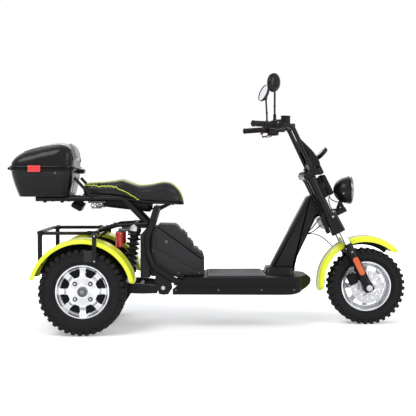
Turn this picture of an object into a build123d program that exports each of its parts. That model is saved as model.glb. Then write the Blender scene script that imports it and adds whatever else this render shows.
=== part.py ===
from build123d import *
from math import atan2, cos, degrees, pi, radians, sin, tan
import os

os.makedirs("parts", exist_ok=True)

# Electric tricycle with two wide rear wheels, in millimetres.
# +X is forward, +Y is the rider's left and +Z is up; the ground is Z = 0 and X = 0 is mid-length.

# ---------------------------------------------------------------- driving sizes
rear_axle_x = -628.0
rear_tyre_radius = 218.0
rear_tyre_width = 182.0
rear_track_half = 294.0
front_axle_x = 865.0
front_tyre_radius = 203.0
front_tyre_width = 120.0
rim_radius = 136.0
rim_bead_radius = 127.0
rim_wall = 5.0

rake_deg = 26.0
fork_offset = 30.0
upper_tube_offset = 8.0
fork_half_spacing = 90.0

deck_half = 190.0
deck_top = 270.0
deck_low = 182.0
deck_rear = -180.0
deck_nose = 567.0
deck_wall = 5.0

wall = 3.0
skin = 4.0
running_gap = 0.3
lid_gap = 1.0

# ---------------------------------------------------------------- shared planes
steer_sin = sin(radians(rake_deg))
steer_cos = cos(radians(rake_deg))
fork_foot = (front_axle_x - fork_offset * steer_cos, 0, front_tyre_radius - fork_offset * steer_sin)
# In the steering plane x is forward of the steering axis, y is left and z runs up the axis.
steering = Plane(origin=fork_foot, x_dir=(steer_cos, 0, steer_sin), z_dir=(-steer_sin, 0, steer_cos))
# The fork from the side: x is forward of the steering axis and y runs up it.
fork_side = Plane(origin=fork_foot, x_dir=(steer_cos, 0, steer_sin), z_dir=(0, -1, 0))
side_view = Plane.XZ


def keep(builder, label):
    """Name a finished sub-part and write its file."""
    builder.part.label = label
    export_step(builder.part, f"parts/{label}.step")


def tube_node(label, routes, radius, plane=Plane.XY):
    """Round bars along routes; a route is its corner points and its bend radii."""
    with BuildPart() as tubes:
        for points, bends in routes:
            with BuildLine(plane) as route:
                if bends:
                    FilletPolyline(*points, radius=bends)
                else:
                    Polyline(*points)
            with BuildSketch(Plane(origin=route.line @ 0, z_dir=route.line % 0)):
                Circle(radius)
            sweep(path=route.line)
    keep(tubes, label)


def axis_plane(x, z, y=0.0):
    """A plane whose normal is +Y, with its x along +X, for turning and drilling along an axle."""
    return Plane(origin=(x, y, z), x_dir=(1, 0, 0), z_dir=(0, 1, 0))


# ---------------------------------------------------------------- wheels
def tyre_node(label, x, y, radius, width, crown, groove, block_count, block_length, block_depth):
    """A tyre turned about its axle, open inside, with a row of blocks along each shoulder."""
    half = width / 2
    bead_half = half * 0.62
    sidewall_top = radius - crown - groove
    outside = [(bead_half, rim_radius + 1), (half - 10, rim_radius + 9), (half - 3, rim_radius + 22),
               (half - 3, sidewall_top - 12), (half * 0.86, sidewall_top), (half * 0.34, radius)]
    inside = [(half - 16, rim_radius + 16), (half - 15, sidewall_top - 16), (half * 0.3, radius - 14)]
    with BuildPart() as tyre:
        with BuildSketch(Plane(origin=(x, y, radius), x_dir=(0, 1, 0), z_dir=(-1, 0, 0))):
            with BuildLine():
                profile = [*reversed(outside), (bead_half - 8, rim_radius + 1), *inside]
                Polyline(*profile, *[(-across, out) for across, out in reversed(profile)], close=True)
            make_face()
        revolve(axis=Axis((x, y, radius), (0, 1, 0)))
        block_in = half * 0.4
        slope = atan2(crown, half - block_in)
        for side in (-1, 1):
            blocks = []
            for turn in range(block_count):
                angle = 2 * pi * (turn + side / 4) / block_count
                out = Vector(-sin(angle), 0, -cos(angle))
                normal = out * cos(slope) + Vector(0, side * sin(slope), 0)
                top = Vector(x, y + side * (block_in + half) / 2, radius) + out * (radius - crown / 2 - 1)
                blocks.append(Plane(origin=top - normal * (block_depth / 2), x_dir=(-cos(angle), 0, sin(angle)),
                                    z_dir=normal))
            with Locations(*blocks):
                Box(block_length, (half - block_in) / cos(slope), block_depth)
    keep(tyre, label)


def rim_node(label, x, y, radius, width, side, spokes, hub_radius, hub_half, face_depth, pocket_size):
    """A cast rim: barrel, spoked face towards the outer side, and a hub with a bore for its axle."""
    pocket_in, pocket_in_half, pocket_out, pocket_out_half = pocket_size
    half = width / 2 * 0.62
    flange = rim_radius
    well = rim_bead_radius - 12
    face_y = side * face_depth
    with BuildPart() as rim:
        with BuildSketch(Plane(origin=(x, y, radius), x_dir=(0, 1, 0), z_dir=(-1, 0, 0))):
            with BuildLine():
                Polyline(
                    (-half, flange), (-half, rim_bead_radius), (-half + 18, rim_bead_radius - 2),
                    (-half + 26, well), (half - 26, well), (half - 18, rim_bead_radius - 2),
                    (half, rim_bead_radius), (half, flange), (half - 6, flange),
                    (half - 8, rim_bead_radius + 4), (half - 20, rim_bead_radius + 3),
                    (half - 30, well + rim_wall), (-half + 30, well + rim_wall),
                    (-half + 20, rim_bead_radius + 3), (-half + 8, rim_bead_radius + 4),
                    (-half + 6, flange), close=True,
                )
            make_face()
        revolve(axis=Axis((x, y, radius), (0, 1, 0)))
        with BuildSketch(axis_plane(x, radius, y + face_y - face_thickness / 2)):
            Circle(well + 2)
            with BuildSketch(mode=Mode.PRIVATE) as pocket:
                with BuildLine():
                    Polyline((pocket_in, -pocket_in_half), (pocket_out, -pocket_out_half),
                             (pocket_out, pocket_out_half), (pocket_in, pocket_in_half), close=True)
                make_face()
                fillet(pocket.vertices(), 0.45 * min(pocket_in_half, pocket_out - pocket_in))
            with PolarLocations(0, spokes, start_angle=90):
                add(pocket.sketch, mode=Mode.SUBTRACT)
        extrude(amount=face_thickness)
        with Locations(axis_plane(x, radius, y)):
            Cylinder(hub_radius, hub_half * 2)
            Cylinder(axle_radius + running_gap, hub_half * 2 + 2, mode=Mode.SUBTRACT)
    keep(rim, label)


axle_radius = 12.0
face_thickness = 14.0
rear_face_depth = 34.0
rear_pocket = (77.0, 13.0, 112.0, 27.0)
front_pocket = (44.0, 7.0, 110.0, 30.0)
rear_hub_half = 46.0
for side, name in ((1, "left"), (-1, "right")):
    tyre_node(f"tyre_rear_{name}", rear_axle_x, side * rear_track_half, rear_tyre_radius, rear_tyre_width,
              12, 9, 30, 26, 34)
    rim_node(f"rim_rear_{name}", rear_axle_x, side * rear_track_half, rear_tyre_radius, rear_tyre_width, side,
             8, 50, rear_hub_half, rear_face_depth, rear_pocket)
tyre_node("tyre_front", front_axle_x, 0, front_tyre_radius, front_tyre_width, 9, 6, 32, 24, 20)
front_hub_half = 48.0
rim_node("rim_front", front_axle_x, 0, front_tyre_radius, front_tyre_width, 1, 8, 34, front_hub_half, 0,
         front_pocket)

rotor_radius = 88.0
rotor_y = -57.0
rotor_thickness = 4.0
with BuildPart() as brake_rotor:
    with BuildSketch(axis_plane(front_axle_x, front_tyre_radius, rotor_y - rotor_thickness / 2)):
        Circle(rotor_radius)
        Circle(rotor_radius - 34, mode=Mode.SUBTRACT)
    extrude(amount=rotor_thickness)
    with BuildSketch(axis_plane(front_axle_x, front_tyre_radius, rotor_y - rotor_thickness / 2)):
        Circle(rotor_radius - 32)
        Circle(30, mode=Mode.SUBTRACT)
        with PolarLocations(45, 6):
            Circle(8, mode=Mode.SUBTRACT)
    extrude(amount=-rotor_y - front_hub_half + rotor_thickness / 2)
keep(brake_rotor, "brake_rotor")

# ---------------------------------------------------------------- frame tubes
tube_radius = 17.0
rail_radius = 14.0
rail_z = 680.0
rail_y = 120.0
swing_pivot = (-227.0, 200.0)
uprights = []
subframes = []
for side in (-1, 1):
    uprights.append(([(-263, side * 118, 636), (-315, side * 148, 470), (-315, side * 150, 400),
                      (-285, side * 165, 325), (-150, side * 165, 240), (90, side * 165, 226), (330, side * 150, 226)],
                     [80, 120, 60, 120, 120]))
    subframes.append(([(-897, side * rail_y, rail_z), (-440, side * rail_y, rail_z), (-318, side * 122, 553)], [50]))
tube_node("frame_rails", uprights, tube_radius)
tube_node("subframe_rails", subframes, rail_radius)

seat_hinge = (-182.0, 654.0)
with BuildPart() as cross_members:
    for x, z, half, radius in (
        (-885, rail_z, rail_y, 11), (-700, rail_z, rail_y, 11), (-562, rail_z - 4.4, rail_y, 11),
        (-268, 618, 122, 14), (-315, 440, 149, 14), (swing_pivot[0], swing_pivot[1], 172, 13),
        (100, 226, 165, 14), (310, 226, 152, 14),
    ):
        with Locations(axis_plane(x, z)):
            Cylinder(radius, 2 * half)
    for y in (-160, 160):
        with BuildSketch(side_view.offset(-y + 4)):
            with BuildLine():
                Polyline((-270, 306), (-190, 262), (-182, 214), (-204, 180), (-250, 180), (-272, 236), close=True)
            make_face()
        extrude(amount=-8)
    for x in (100, 310):
        for y in (-80, 80):
            with Locations((x, y, (226 + deck_top - deck_wall) / 2)):
                Cylinder(10, deck_top - deck_wall - 226)
    with Locations(axis_plane(*seat_hinge)):
        Cylinder(6, 84)
    for y in (-36, 36):
        with BuildSketch(side_view.offset(-y + 4)):
            with BuildLine():
                Polyline((seat_hinge[0] + 8, seat_hinge[1]), (seat_hinge[0], seat_hinge[1] + 8),
                         (seat_hinge[0] - 10, seat_hinge[1] + 4), (-284, 628), (-284, 608), (-262, 608), close=True)
            make_face()
        extrude(amount=-8)
keep(cross_members, "cross_members")

beam_half = 42.0
head_radius = 30.0
head_low = 450.0
head_high = 660.0
steerer_radius = 14.0
with BuildPart() as backbone:
    with BuildSketch(side_view.offset(beam_half)):
        with BuildLine():
            Polyline((342, 290), (344, 310), (541, 686), (562, 698), (618, 587), (590, 574), (491, 366), (478, 310),
                     (478, 290), close=True)
        make_face()
    extrude(amount=-2 * beam_half)
    fillet(backbone.edges().filter_by(Axis.Y, reverse=True), 14)
    with Locations(steering):
        with Locations((0, 0, (head_low + head_high) / 2)):
            Cylinder(head_radius, head_high - head_low)
            Cylinder(steerer_radius + running_gap, head_high - head_low + 2, mode=Mode.SUBTRACT)
    with BuildSketch(Plane.XY.offset(deck_top)):
        with Locations((391, 0)):
            RectangleRounded(160, 150, 30)
    extrude(amount=42, taper=12)
    with Locations((532, -45, 488)):
        Box(22, 10, 20)
keep(backbone, "backbone")

# ---------------------------------------------------------------- deck


def deck_block(inset, drop):
    """The footboard's body: its side outline cut to its plan; inset and drop make the space inside it."""
    with BuildPart() as block:
        with BuildSketch(side_view.offset(deck_half)):
            with BuildLine():
                low = Polyline((deck_rear + 70 - inset, deck_top - inset), (deck_rear - inset, deck_top - 60),
                               (deck_rear - inset, deck_low - drop), (416, deck_low - 4 - drop))
                nose = Spline(low @ 1, (505 - inset, deck_low + 12 - drop), (deck_nose - inset, deck_low + 58),
                              (548 - inset, deck_top - 6 - inset), (500, deck_top - inset), tangents=[(1, 0), (-1, 0)])
                Line(nose @ 1, low @ 0)
            make_face()
        extrude(amount=-2 * deck_half)
        with BuildSketch(Plane.XY.offset(deck_low - 60)):
            with BuildLine():
                left = Line((deck_rear - 9, deck_half - inset), (340, deck_half - inset))
                tip = Spline(left @ 1, (500 - inset, 130), (deck_nose + 2 - inset, 0), (500 - inset, -130),
                             (340, inset - deck_half), tangents=[(1, 0), (-1, 0)])
                Polyline(tip @ 1, (deck_rear - 9, inset - deck_half), left @ 0)
            make_face()
        extrude(amount=170, mode=Mode.INTERSECT)
    return block.part


deck_outside = deck_block(0, 0)
deck_inside = deck_block(deck_wall, 30)
with BuildPart() as deck_shell:
    add(deck_outside)
    add(deck_inside, mode=Mode.SUBTRACT)
    for side in (-1, 1):
        with Locations((deck_rear + 20, side * 165, deck_top)):
            Box(100, 2 * tube_radius + 8, 120, mode=Mode.SUBTRACT)
keep(deck_shell, "deck_shell")

mat_half = 165.0
mat_rear = 2.0
mat_front = 312.0
mat_thickness = 10.0
with BuildPart() as deck_mat:
    with BuildSketch(Plane.XY.offset(deck_top)):
        with Locations(((mat_rear + mat_front) / 2, 0)):
            RectangleRounded(mat_front - mat_rear, 2 * mat_half, 22)
    extrude(amount=mat_thickness)
    fillet(deck_mat.faces().sort_by(Axis.Z)[-1].edges(), 4)
keep(deck_mat, "deck_mat")

# ---------------------------------------------------------------- battery case
case_half = 128.0
case_floor = deck_top
lid_hinge = (-10.0, 356.0)
knuckle_radius = 6.0
pin_radius = 3.0
knuckle_spans = ((-100, -70), (70, 100))
seam_low = (-13.0, 353.0)
seam_high = (-192.0, 485.0)
with BuildPart() as battery_case:
    for inset, mode in ((0, Mode.ADD), (wall, Mode.SUBTRACT)):
        with BuildSketch(side_view.offset(case_half - inset)):
            with BuildLine():
                Polyline(
                    (-296 + inset, case_floor + inset), (seam_low[0] - inset, case_floor + inset),
                    (seam_low[0] - inset, seam_low[1] + inset / 2), (seam_high[0] - inset, seam_high[1] + inset / 2),
                    (seam_high[0] - inset, 538 - inset), (-256, 546 - inset), (-296 + inset, 520 - inset), close=True,
                )
            make_face()
        extrude(amount=-2 * (case_half - inset), mode=mode)
    with BuildSketch(side_view.offset(case_half - 14)):
        with BuildLine():
            Polyline((seam_low[0] - 14, seam_low[1] - 6), (seam_high[0] + 12, seam_high[1] - 25),
                     (seam_high[0] + 12, seam_high[1] + 10), (seam_low[0], seam_low[1] + 10), close=True)
        make_face()
    extrude(amount=-2 * (case_half - 14), mode=Mode.SUBTRACT)
    for low, high in knuckle_spans:
        with Locations(axis_plane(*lid_hinge, (low + high) / 2)):
            Cylinder(knuckle_radius + 2, high - low + 2 * running_gap, mode=Mode.SUBTRACT)
    for y in (-1, 1):
        with Locations(axis_plane(*lid_hinge, y * 55)):
            Cylinder(knuckle_radius, 29)
        with Locations(axis_plane(*lid_hinge, y * 84)):
            Cylinder(pin_radius, 32)
keep(battery_case, "battery_case")

with BuildPart() as battery_lid:
    with BuildSketch(side_view.offset(case_half - 6)) as shape:
        with BuildLine():
            Polyline(
                (seam_low[0], seam_low[1] + lid_gap), (-13, 364), (-36, 396), (-62, 414), (-72, 448), (-98, 468),
                (-112, 500), (-142, 514), (-158, 536), (seam_high[0] + 2, 536), (seam_high[0] + 2, seam_high[1] + lid_gap),
                close=True,
            )
        make_face()
    extrude(amount=-2 * (case_half - 6))
    with BuildSketch(side_view.offset(case_half - 12)):
        with BuildLine():
            Polyline((-26, 358), (-62, 400), (-96, 450), (-138, 496), (-164, 524), (-182, 524), (-182, 476), close=True)
        make_face()
    extrude(amount=-2 * (case_half - 12), mode=Mode.SUBTRACT)
    with Locations(axis_plane(*lid_hinge)):
        Cylinder(knuckle_radius + 1, 2 * case_half, mode=Mode.SUBTRACT)
    for low, high in knuckle_spans:
        with Locations(axis_plane(*lid_hinge, (low + high) / 2)):
            Cylinder(knuckle_radius, high - low - 2 * running_gap)
            with Locations((-7, -6, 0)):
                Box(12, 7, high - low - 2 * running_gap)
            Cylinder(pin_radius + 0.05, high - low + 2, mode=Mode.SUBTRACT)
keep(battery_lid, "battery_lid")

with BuildPart() as battery_pack:
    with Locations((-160, 0, case_floor + wall + 50)):
        Box(230, 200, 100)
    fillet(battery_pack.edges().filter_by(Axis.Z), 8)
keep(battery_pack, "battery_pack")

# ---------------------------------------------------------------- seat and bucket
seat_half = 128.0
seat_floor = ((-655, 706), (-480, 702), (-440, 698), (-300, 676), (-118, 662))
with BuildPart() as seat_cushion:
    with BuildSketch(side_view.offset(160)):
        with BuildLine():
            floor = Polyline(*seat_floor)
            top = Spline(floor @ 1, (-117, 690), (-152, 738), (-198, 764), (-262, 763), (-343, 751), (-400, 762),
                         (-440, 778), (-540, 774), (-640, 760), floor @ 0)
        make_face()
    extrude(amount=-320)
    with BuildSketch(Plane.XY.offset(600)):
        with BuildLine():
            right = Spline((-658, 0), (-650, -88), (-560, -112), (-450, -seat_half), (-340, -seat_half + 4), (-200, -100),
                           (-125, -70), (-104, 0), tangents=[(0, -1), (0, 1)])
            mirror(right, about=Plane.XZ)
        make_face()
    extrude(amount=250, mode=Mode.INTERSECT)
keep(seat_cushion, "seat_cushion")

with BuildPart() as seat_base:
    with BuildSketch(side_view.offset(100)):
        with BuildLine():
            Polyline((-650, 705.3), (-480, 701.3), (-440, 697.3), (-300, 675.3), (-122, 661.6), (-126, 648), (-300, 652),
                     (-440, 674), (-480, 684), (-648, 690), close=True)
        make_face()
    extrude(amount=-200)
    with BuildSketch(Plane.XY.offset(600)):
        with BuildLine():
            right = Spline((-650, 0), (-640, -80), (-560, -96), (-300, -98), (-200, -84), (-135, -60), (-122, 0),
                           tangents=[(0, -1), (0, 1)])
            mirror(right, about=Plane.XZ)
        make_face()
    extrude(amount=250, mode=Mode.INTERSECT)
    for y in (-1, 1):
        with Locations((seat_hinge[0] - 17, y * 36, seat_hinge[1] - 2)):
            Box(74, 22, 32, mode=Mode.SUBTRACT)
    with Locations(axis_plane(*seat_hinge)):
        Cylinder(11, 50)
        Cylinder(6.05, 52, mode=Mode.SUBTRACT)
keep(seat_base, "seat_base")

with BuildPart() as seat_bucket:
    for inset, mode in ((0, Mode.ADD), (wall, Mode.SUBTRACT)):
        with BuildSketch(Plane.XY.offset(648 + (1 if inset else 0))):
            with Locations((-424, 0)):
                RectangleRounded(262 - 2 * inset, 176 - 2 * inset, 30 - inset)
        with BuildSketch(Plane.XY.offset(604 + inset)):
            with Locations((-414, 0)):
                RectangleRounded(210 - 2 * inset, 150 - 2 * inset, 30 - inset)
        loft(mode=mode)
    with Locations((-556, 0, 656)):
        Box(6, 80, 34)
    with Locations((-282, 0, 624)):
        Box(24, 80, 6)
keep(seat_bucket, "seat_bucket")

# ---------------------------------------------------------------- top case
box_rear = -1040.0
box_front = -697.0
box_seam = 838.0
box_depth = 142.0
box_floor = box_seam - box_depth
box_hinge = (box_rear - 22, box_seam)
box_half = 195.0


def box_bowl(inset):
    """The lower half of the top case, tapered downwards; a positive inset gives the space inside it."""
    with BuildPart() as bowl:
        with BuildSketch(Plane.XY.offset(box_floor + inset)):
            with Locations((box_front - 149, 0)):
                RectangleRounded(258 - 2 * inset, 2 * (box_half - 45 - inset), 42 - inset)
        with BuildSketch(Plane.XY.offset(box_seam - 1 + (1 if inset else 0))):
            with Locations(((box_rear + box_front) / 2, 0)):
                RectangleRounded(box_front - box_rear - 2 * inset, 2 * (box_half - inset), 70 - inset)
        loft()
    return bowl.part


def box_dome(inset):
    """The upper half of the top case: its side outline cut to the rounded plan and the rounded front view."""
    seam = box_seam + lid_gap - (lid_gap if inset else 0)
    with BuildPart() as dome:
        with BuildSketch(side_view.offset(box_half + 5)):
            with BuildLine():
                top = Spline((box_rear + inset, seam), (box_rear + 20 + inset, box_seam + 46 - inset),
                             (box_rear + 100, box_seam + 102 - inset), (box_front - 103, box_seam + 130 - inset),
                             (box_front - 41 - inset, box_seam + 136 - inset))
                front = Spline(top @ 1, (box_front - 11 - inset, box_seam + 92 - inset / 2), (box_front - inset, seam),
                               tangents=[(1, -0.25), (0, -1)])
                Line(front @ 1, top @ 0)
            make_face()
        extrude(amount=-2 * (box_half + 5))
        with BuildSketch(Plane.XY.offset(box_seam - 10)):
            with Locations(((box_rear + box_front) / 2, 0)):
                RectangleRounded(box_front - box_rear - 2 * inset, 2 * (box_half - inset), 70 - inset)
        extrude(amount=160, mode=Mode.INTERSECT)
        with BuildSketch(Plane.YZ.offset(box_rear - 10)):
            with BuildLine():
                right = [(-box_half + inset, box_seam - 10), (-box_half + 8 + inset, box_seam + 62),
                         (-box_half + 60, box_seam + 128 - inset)]
                arch = Spline(*right, (0, box_seam + 140 - inset), *[(-y, z) for y, z in reversed(right)])
                Line(arch @ 1, arch @ 0)
            make_face()
        extrude(amount=400, mode=Mode.INTERSECT)
    return dome.part


bowl_outside = box_bowl(0)
bowl_inside = box_bowl(wall)
dome_outside = box_dome(0)
dome_inside = box_dome(wall)
box_knuckles = ((-120, -80), (80, 120))
with BuildPart() as case_base:
    add(bowl_outside)
    add(bowl_inside, mode=Mode.SUBTRACT)
    for side in (-1, 1):
        with Locations(axis_plane(*box_hinge, side * 60)):
            Cylinder(knuckle_radius, 39)
        with Locations(axis_plane(*box_hinge, side * 96)):
            Cylinder(pin_radius, 50)
        with Locations((box_hinge[0] + 14, side * 60, box_hinge[1] - 6)):
            Box(28, 39, 10)
keep(case_base, "case_base")

with BuildPart() as case_lid:
    add(dome_outside)
    add(dome_inside, mode=Mode.SUBTRACT)
    for low, high in box_knuckles:
        with Locations(axis_plane(*box_hinge, (low + high) / 2)):
            Cylinder(knuckle_radius, high - low - 2 * running_gap)
            with Locations((13, -6, 0)):
                Box(26, 8, high - low - 2 * running_gap)
            Cylinder(pin_radius + 0.05, high - low + 2, mode=Mode.SUBTRACT)
keep(case_lid, "case_lid")

with BuildPart() as case_latch:
    with Locations((box_front + 18, 0, box_seam - 14)):
        Box(40, 70, 22)
    fillet(case_latch.edges().filter_by(Axis.Y), 6)
keep(case_latch, "case_latch")

with BuildPart() as case_reflectors:
    for side in (-1, 1):
        with Locations((-890, side * (box_half + 1), box_seam - 16)):
            Box(64, 6, 26)
keep(case_reflectors, "case_reflectors")

strut_y = 134.0
with BuildPart() as case_mount:
    for side in (-1, 1):
        with BuildLine() as strut:
            Polyline((-600, side * strut_y, 686), (-694, side * strut_y, 790))
        with BuildSketch(Plane(origin=strut.line @ 0, z_dir=strut.line % 0)):
            Circle(8)
        sweep(path=strut.line)
    with BuildSketch(Plane.XY.offset(box_floor - 5)):
        with Locations((-800, 0)):
            RectangleRounded(220, 206, 30)
    extrude(amount=5)
    with BuildSketch(side_view.offset(20)):
        with BuildLine():
            Polyline((-712, 692), (-690, 692), (-674, 662), (-712, 645), close=True)
        make_face()
    extrude(amount=-40)
keep(case_mount, "case_mount")

# ---------------------------------------------------------------- tail lamp
with BuildPart() as tail_lamp:
    with Locations(Plane(origin=(-694, 0, 636), x_dir=(0.88, 0, 0.47), z_dir=(-0.47, 0, 0.88))):
        Box(62, 96, 34)
    fillet(tail_lamp.edges().filter_by(Axis.Y), 9)
keep(tail_lamp, "tail_lamp")

# ---------------------------------------------------------------- rear fenders and rack
fender_outer = 258.0
fender_in_y = 198.0
fender_out_y = 396.0


def fender_node(label, x, z, outer, y_low, y_high, start_deg, arc_deg, drop):
    """A fender turned about its own centre: a flat crown, rounded shoulders and two side lips."""
    inner = outer - skin
    start = Plane(origin=(x, 0, z), x_dir=(0, 1, 0),
                  z_dir=(sin(radians(start_deg)), 0, -cos(radians(start_deg))))
    with BuildPart() as fender:
        with BuildSketch(start) as section:
            with Locations(((y_low + y_high) / 2, (2 * outer - drop) / 2)):
                Rectangle(y_high - y_low, drop)
            fillet(section.vertices().group_by(Axis.Y)[-1], 12)
            with Locations(((y_low + y_high) / 2, (inner + outer - drop) / 2 - skin)):
                Rectangle(y_high - y_low - 2 * skin, inner - outer + drop + 2 * skin, mode=Mode.SUBTRACT)
        revolve(axis=Axis((x, 0, z), (0, -1, 0)), revolution_arc=arc_deg)
    keep(fender, label)


for side, name in ((1, "left"), (-1, "right")):
    low, high = sorted((side * fender_in_y, side * fender_out_y))
    fender_node(f"fender_rear_{name}", rear_axle_x, rear_tyre_radius, fender_outer, low, high, 11, 154, 26)

rack_z = 508.0
rack_rear = -866.0
rack_front = -574.0
rack_half = 280.0
rack_radius = 9.0
rack_corner = 60.0
loop = [(rack_front, 0, rack_z), (rack_front, -rack_half, rack_z), (rack_rear, -rack_half, rack_z),
        (rack_rear, rack_half, rack_z), (rack_front, rack_half, rack_z), (rack_front, 1, rack_z)]
tube_node("rear_rack", [(loop, rack_corner)], rack_radius)

with BuildPart() as rack_mounts:
    for side in (-1, 1):
        with Locations((rack_rear + 22, side * rack_half, (rack_z + 346) / 2)):
            Cylinder(7, rack_z - 346)
        with Locations((-562, side * 398.5, 438)):
            Box(20, 5, 145)
        with Locations((-562, side * 308, rack_z)):
            Box(20, 186, 5)
        with Locations(axis_plane(-562, 388, side * 399)):
            Cylinder(7, 14)
        with BuildLine() as arm:
            FilletPolyline((rack_front, side * 90, rack_z), (-470, side * 120, 540), (-312, side * 136, 548), radius=40)
        with BuildSketch(Plane(origin=arm.line @ 0, z_dir=arm.line % 0)):
            Circle(10)
        sweep(path=arm.line)
keep(rack_mounts, "rack_mounts")

# ---------------------------------------------------------------- swing arm, axle and shocks
arm_y = 140.0
with BuildPart() as swing_arm:
    for side in (-1, 1):
        with BuildSketch(side_view.offset(-side * arm_y + 12)):
            with BuildLine():
                Polyline((-252, 222), (-330, 232), (-560, 244), (-664, 248), (-672, 190), (-560, 190), (-340, 182),
                         (-262, 184), close=True)
            make_face()
        extrude(amount=-24)
        with Locations(axis_plane(*swing_pivot, side * arm_y)):
            Cylinder(24, 24)
    with Locations(axis_plane(-350, 208)):
        Cylinder(16, 2 * arm_y)
    with Locations(axis_plane(*swing_pivot)):
        Cylinder(13.3, 400, mode=Mode.SUBTRACT)
keep(swing_arm, "swing_arm")

housing_radius = 34.0
motor_radius = 82.0
hub_in = rear_track_half - rear_hub_half
with BuildPart() as axle_housing:
    with Locations(axis_plane(rear_axle_x, rear_tyre_radius)):
        Cylinder(housing_radius, 2 * (arm_y - 12 - running_gap))
        Cylinder(motor_radius, 150)
    for side in (-1, 1):
        with Locations(axis_plane(rear_axle_x, rear_tyre_radius, side * (arm_y + 12 + (hub_in - arm_y - 12) / 2))):
            Cylinder(52, hub_in - arm_y - 12 - 2 * running_gap)
        with Locations(axis_plane(rear_axle_x, rear_tyre_radius, side * (hub_in + rear_hub_half))):
            Cylinder(axle_radius, 2 * rear_hub_half + 20)
        with Locations(axis_plane(rear_axle_x, rear_tyre_radius, side * (hub_in + 2 * rear_hub_half + 8))):
            Cylinder(20, 12)
keep(axle_housing, "axle_housing")

shock_top = (-384.0, 536.0)
shock_foot = (-420.0, 244.0)
shock_y = 112.0
shock_angle = degrees(atan2(shock_top[0] - shock_foot[0], shock_top[1] - shock_foot[1]))
shock_length = ((shock_top[0] - shock_foot[0]) ** 2 + (shock_top[1] - shock_foot[1]) ** 2) ** 0.5
shock_run = (sin(radians(shock_angle)), 0, cos(radians(shock_angle)))
shock_planes = [
    Plane(origin=(shock_foot[0], side * shock_y, shock_foot[1]), x_dir=(shock_run[2], 0, -shock_run[0]), z_dir=shock_run)
    for side in (-1, 1)
]
with BuildPart() as shocks:
    for shock in shock_planes:
        with Locations(shock):
            with Locations((0, 0, shock_length / 2)):
                Cylinder(12, shock_length - 10)
            with Locations((0, 0, 20)):
                Cylinder(24, 30)
            with Locations((0, 0, shock_length - 18)):
                Cylinder(27, 26)
    for side in (-1, 1):
        for x, z in (shock_top, shock_foot):
            with Locations(axis_plane(x, z, side * shock_y)):
                Cylinder(14, 40)
keep(shocks, "shocks")
# Each spring is one turned sleeve with a ridge for every coil.
spring_radius = 29.0
spring_inside = 21.0
spring_groove = 5.0
spring_low = 35.0 + running_gap
spring_high = shock_length - 31 - running_gap
spring_coils = 8
coil_pitch = (spring_high - spring_low) / spring_coils
ridges = []
for coil in range(spring_coils):
    base = spring_low + coil * coil_pitch
    ridges += [(spring_radius - spring_groove, base), (spring_radius - 1, base + coil_pitch * 0.28),
               (spring_radius - 1, base + coil_pitch * 0.5), (spring_radius - spring_groove, base + coil_pitch * 0.78)]
ridges.append((spring_radius - spring_groove, spring_high))
with BuildPart() as shock_springs:
    for shock in shock_planes:
        with BuildSketch(Plane(origin=shock.origin, x_dir=shock.x_dir, z_dir=-shock.y_dir)):
            with BuildLine():
                Polyline(*ridges, (spring_inside, spring_high), (spring_inside, spring_low), close=True)
            make_face()
        revolve(axis=Axis(shock.origin, shock.z_dir))
keep(shock_springs, "shock_springs")
with BuildPart() as shock_reservoirs:
    for side in (-1, 1):
        with Locations((-462, side * (shock_y + 12), 465)):
            Cylinder(19, 88)
        with Locations((-438, side * shock_y, 515)):
            Box(56, 18, 16)
keep(shock_reservoirs, "shock_reservoirs")
with BuildPart() as shock_mounts:
    with Locations(axis_plane(*shock_top)):
        Cylinder(10, 270)
    with Locations(axis_plane(*shock_foot)):
        Cylinder(10, 270)
    for side in (-1, 1):
        with Locations((-352, side * 126, 540)):
            Box(90, 8, 30)
keep(shock_mounts, "shock_mounts")

# ---------------------------------------------------------------- fork, all in the steering plane
lower_leg_radius = 25.0
stanchion_radius = 17.0
leg_split = 254.0
cover_low = 335.0
cover_high = 440.0
with BuildPart() as fork_legs:
    for side in (-1, 1):
        with Locations(steering):
            with Locations((fork_offset, side * fork_half_spacing, leg_split / 2 - 5)):
                Cylinder(lower_leg_radius, leg_split + 10)
            with Locations((fork_offset, side * fork_half_spacing, 0)):
                Box(56, 40, 50)
        with BuildLine() as stay:
            Polyline((778, side * 56, 425), (758, side * 92, 392))
        with BuildSketch(Plane(origin=stay.line @ 0, z_dir=stay.line % 0)):
            Circle(8)
        sweep(path=stay.line)
keep(fork_legs, "fork_legs")
with BuildPart() as stanchions:
    for side in (-1, 1):
        with Locations(steering):
            with Locations((fork_offset, side * fork_half_spacing, (leg_split + cover_low) / 2)):
                Cylinder(stanchion_radius, cover_low - leg_split)
keep(stanchions, "stanchions")
sleeve_p = 13.0
sleeve_size = (76.0, 56.0)
yoke_low = 382.0
yoke_top = 437.0
with BuildPart() as lower_yoke:
    for side in (-1, 1):
        with BuildSketch(steering.offset(cover_low)):
            with Locations((sleeve_p, side * fork_half_spacing)):
                RectangleRounded(*sleeve_size, 16)
        with BuildSketch(steering.offset(cover_high)):
            with Locations((sleeve_p + 2, side * fork_half_spacing)):
                RectangleRounded(sleeve_size[0] - 12, sleeve_size[1] - 4, 16)
        loft()
    with Locations(steering):
        with Locations((1, 0, (yoke_low + yoke_top) / 2)):
            Box(90, 2 * fork_half_spacing, yoke_top - yoke_low)
        with Locations((78, 0, 424)):
            Box(72, 60, 24)
        with Locations((104, 0, 449)):
            Box(16, 36, 54)
keep(lower_yoke, "lower_yoke")
with BuildPart() as upper_tubes:
    for side in (-1, 1):
        with Locations(steering):
            with Locations((upper_tube_offset, side * fork_half_spacing, (cover_high + 664) / 2)):
                Cylinder(22, 664 - cover_high)
keep(upper_tubes, "upper_tubes")
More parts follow.
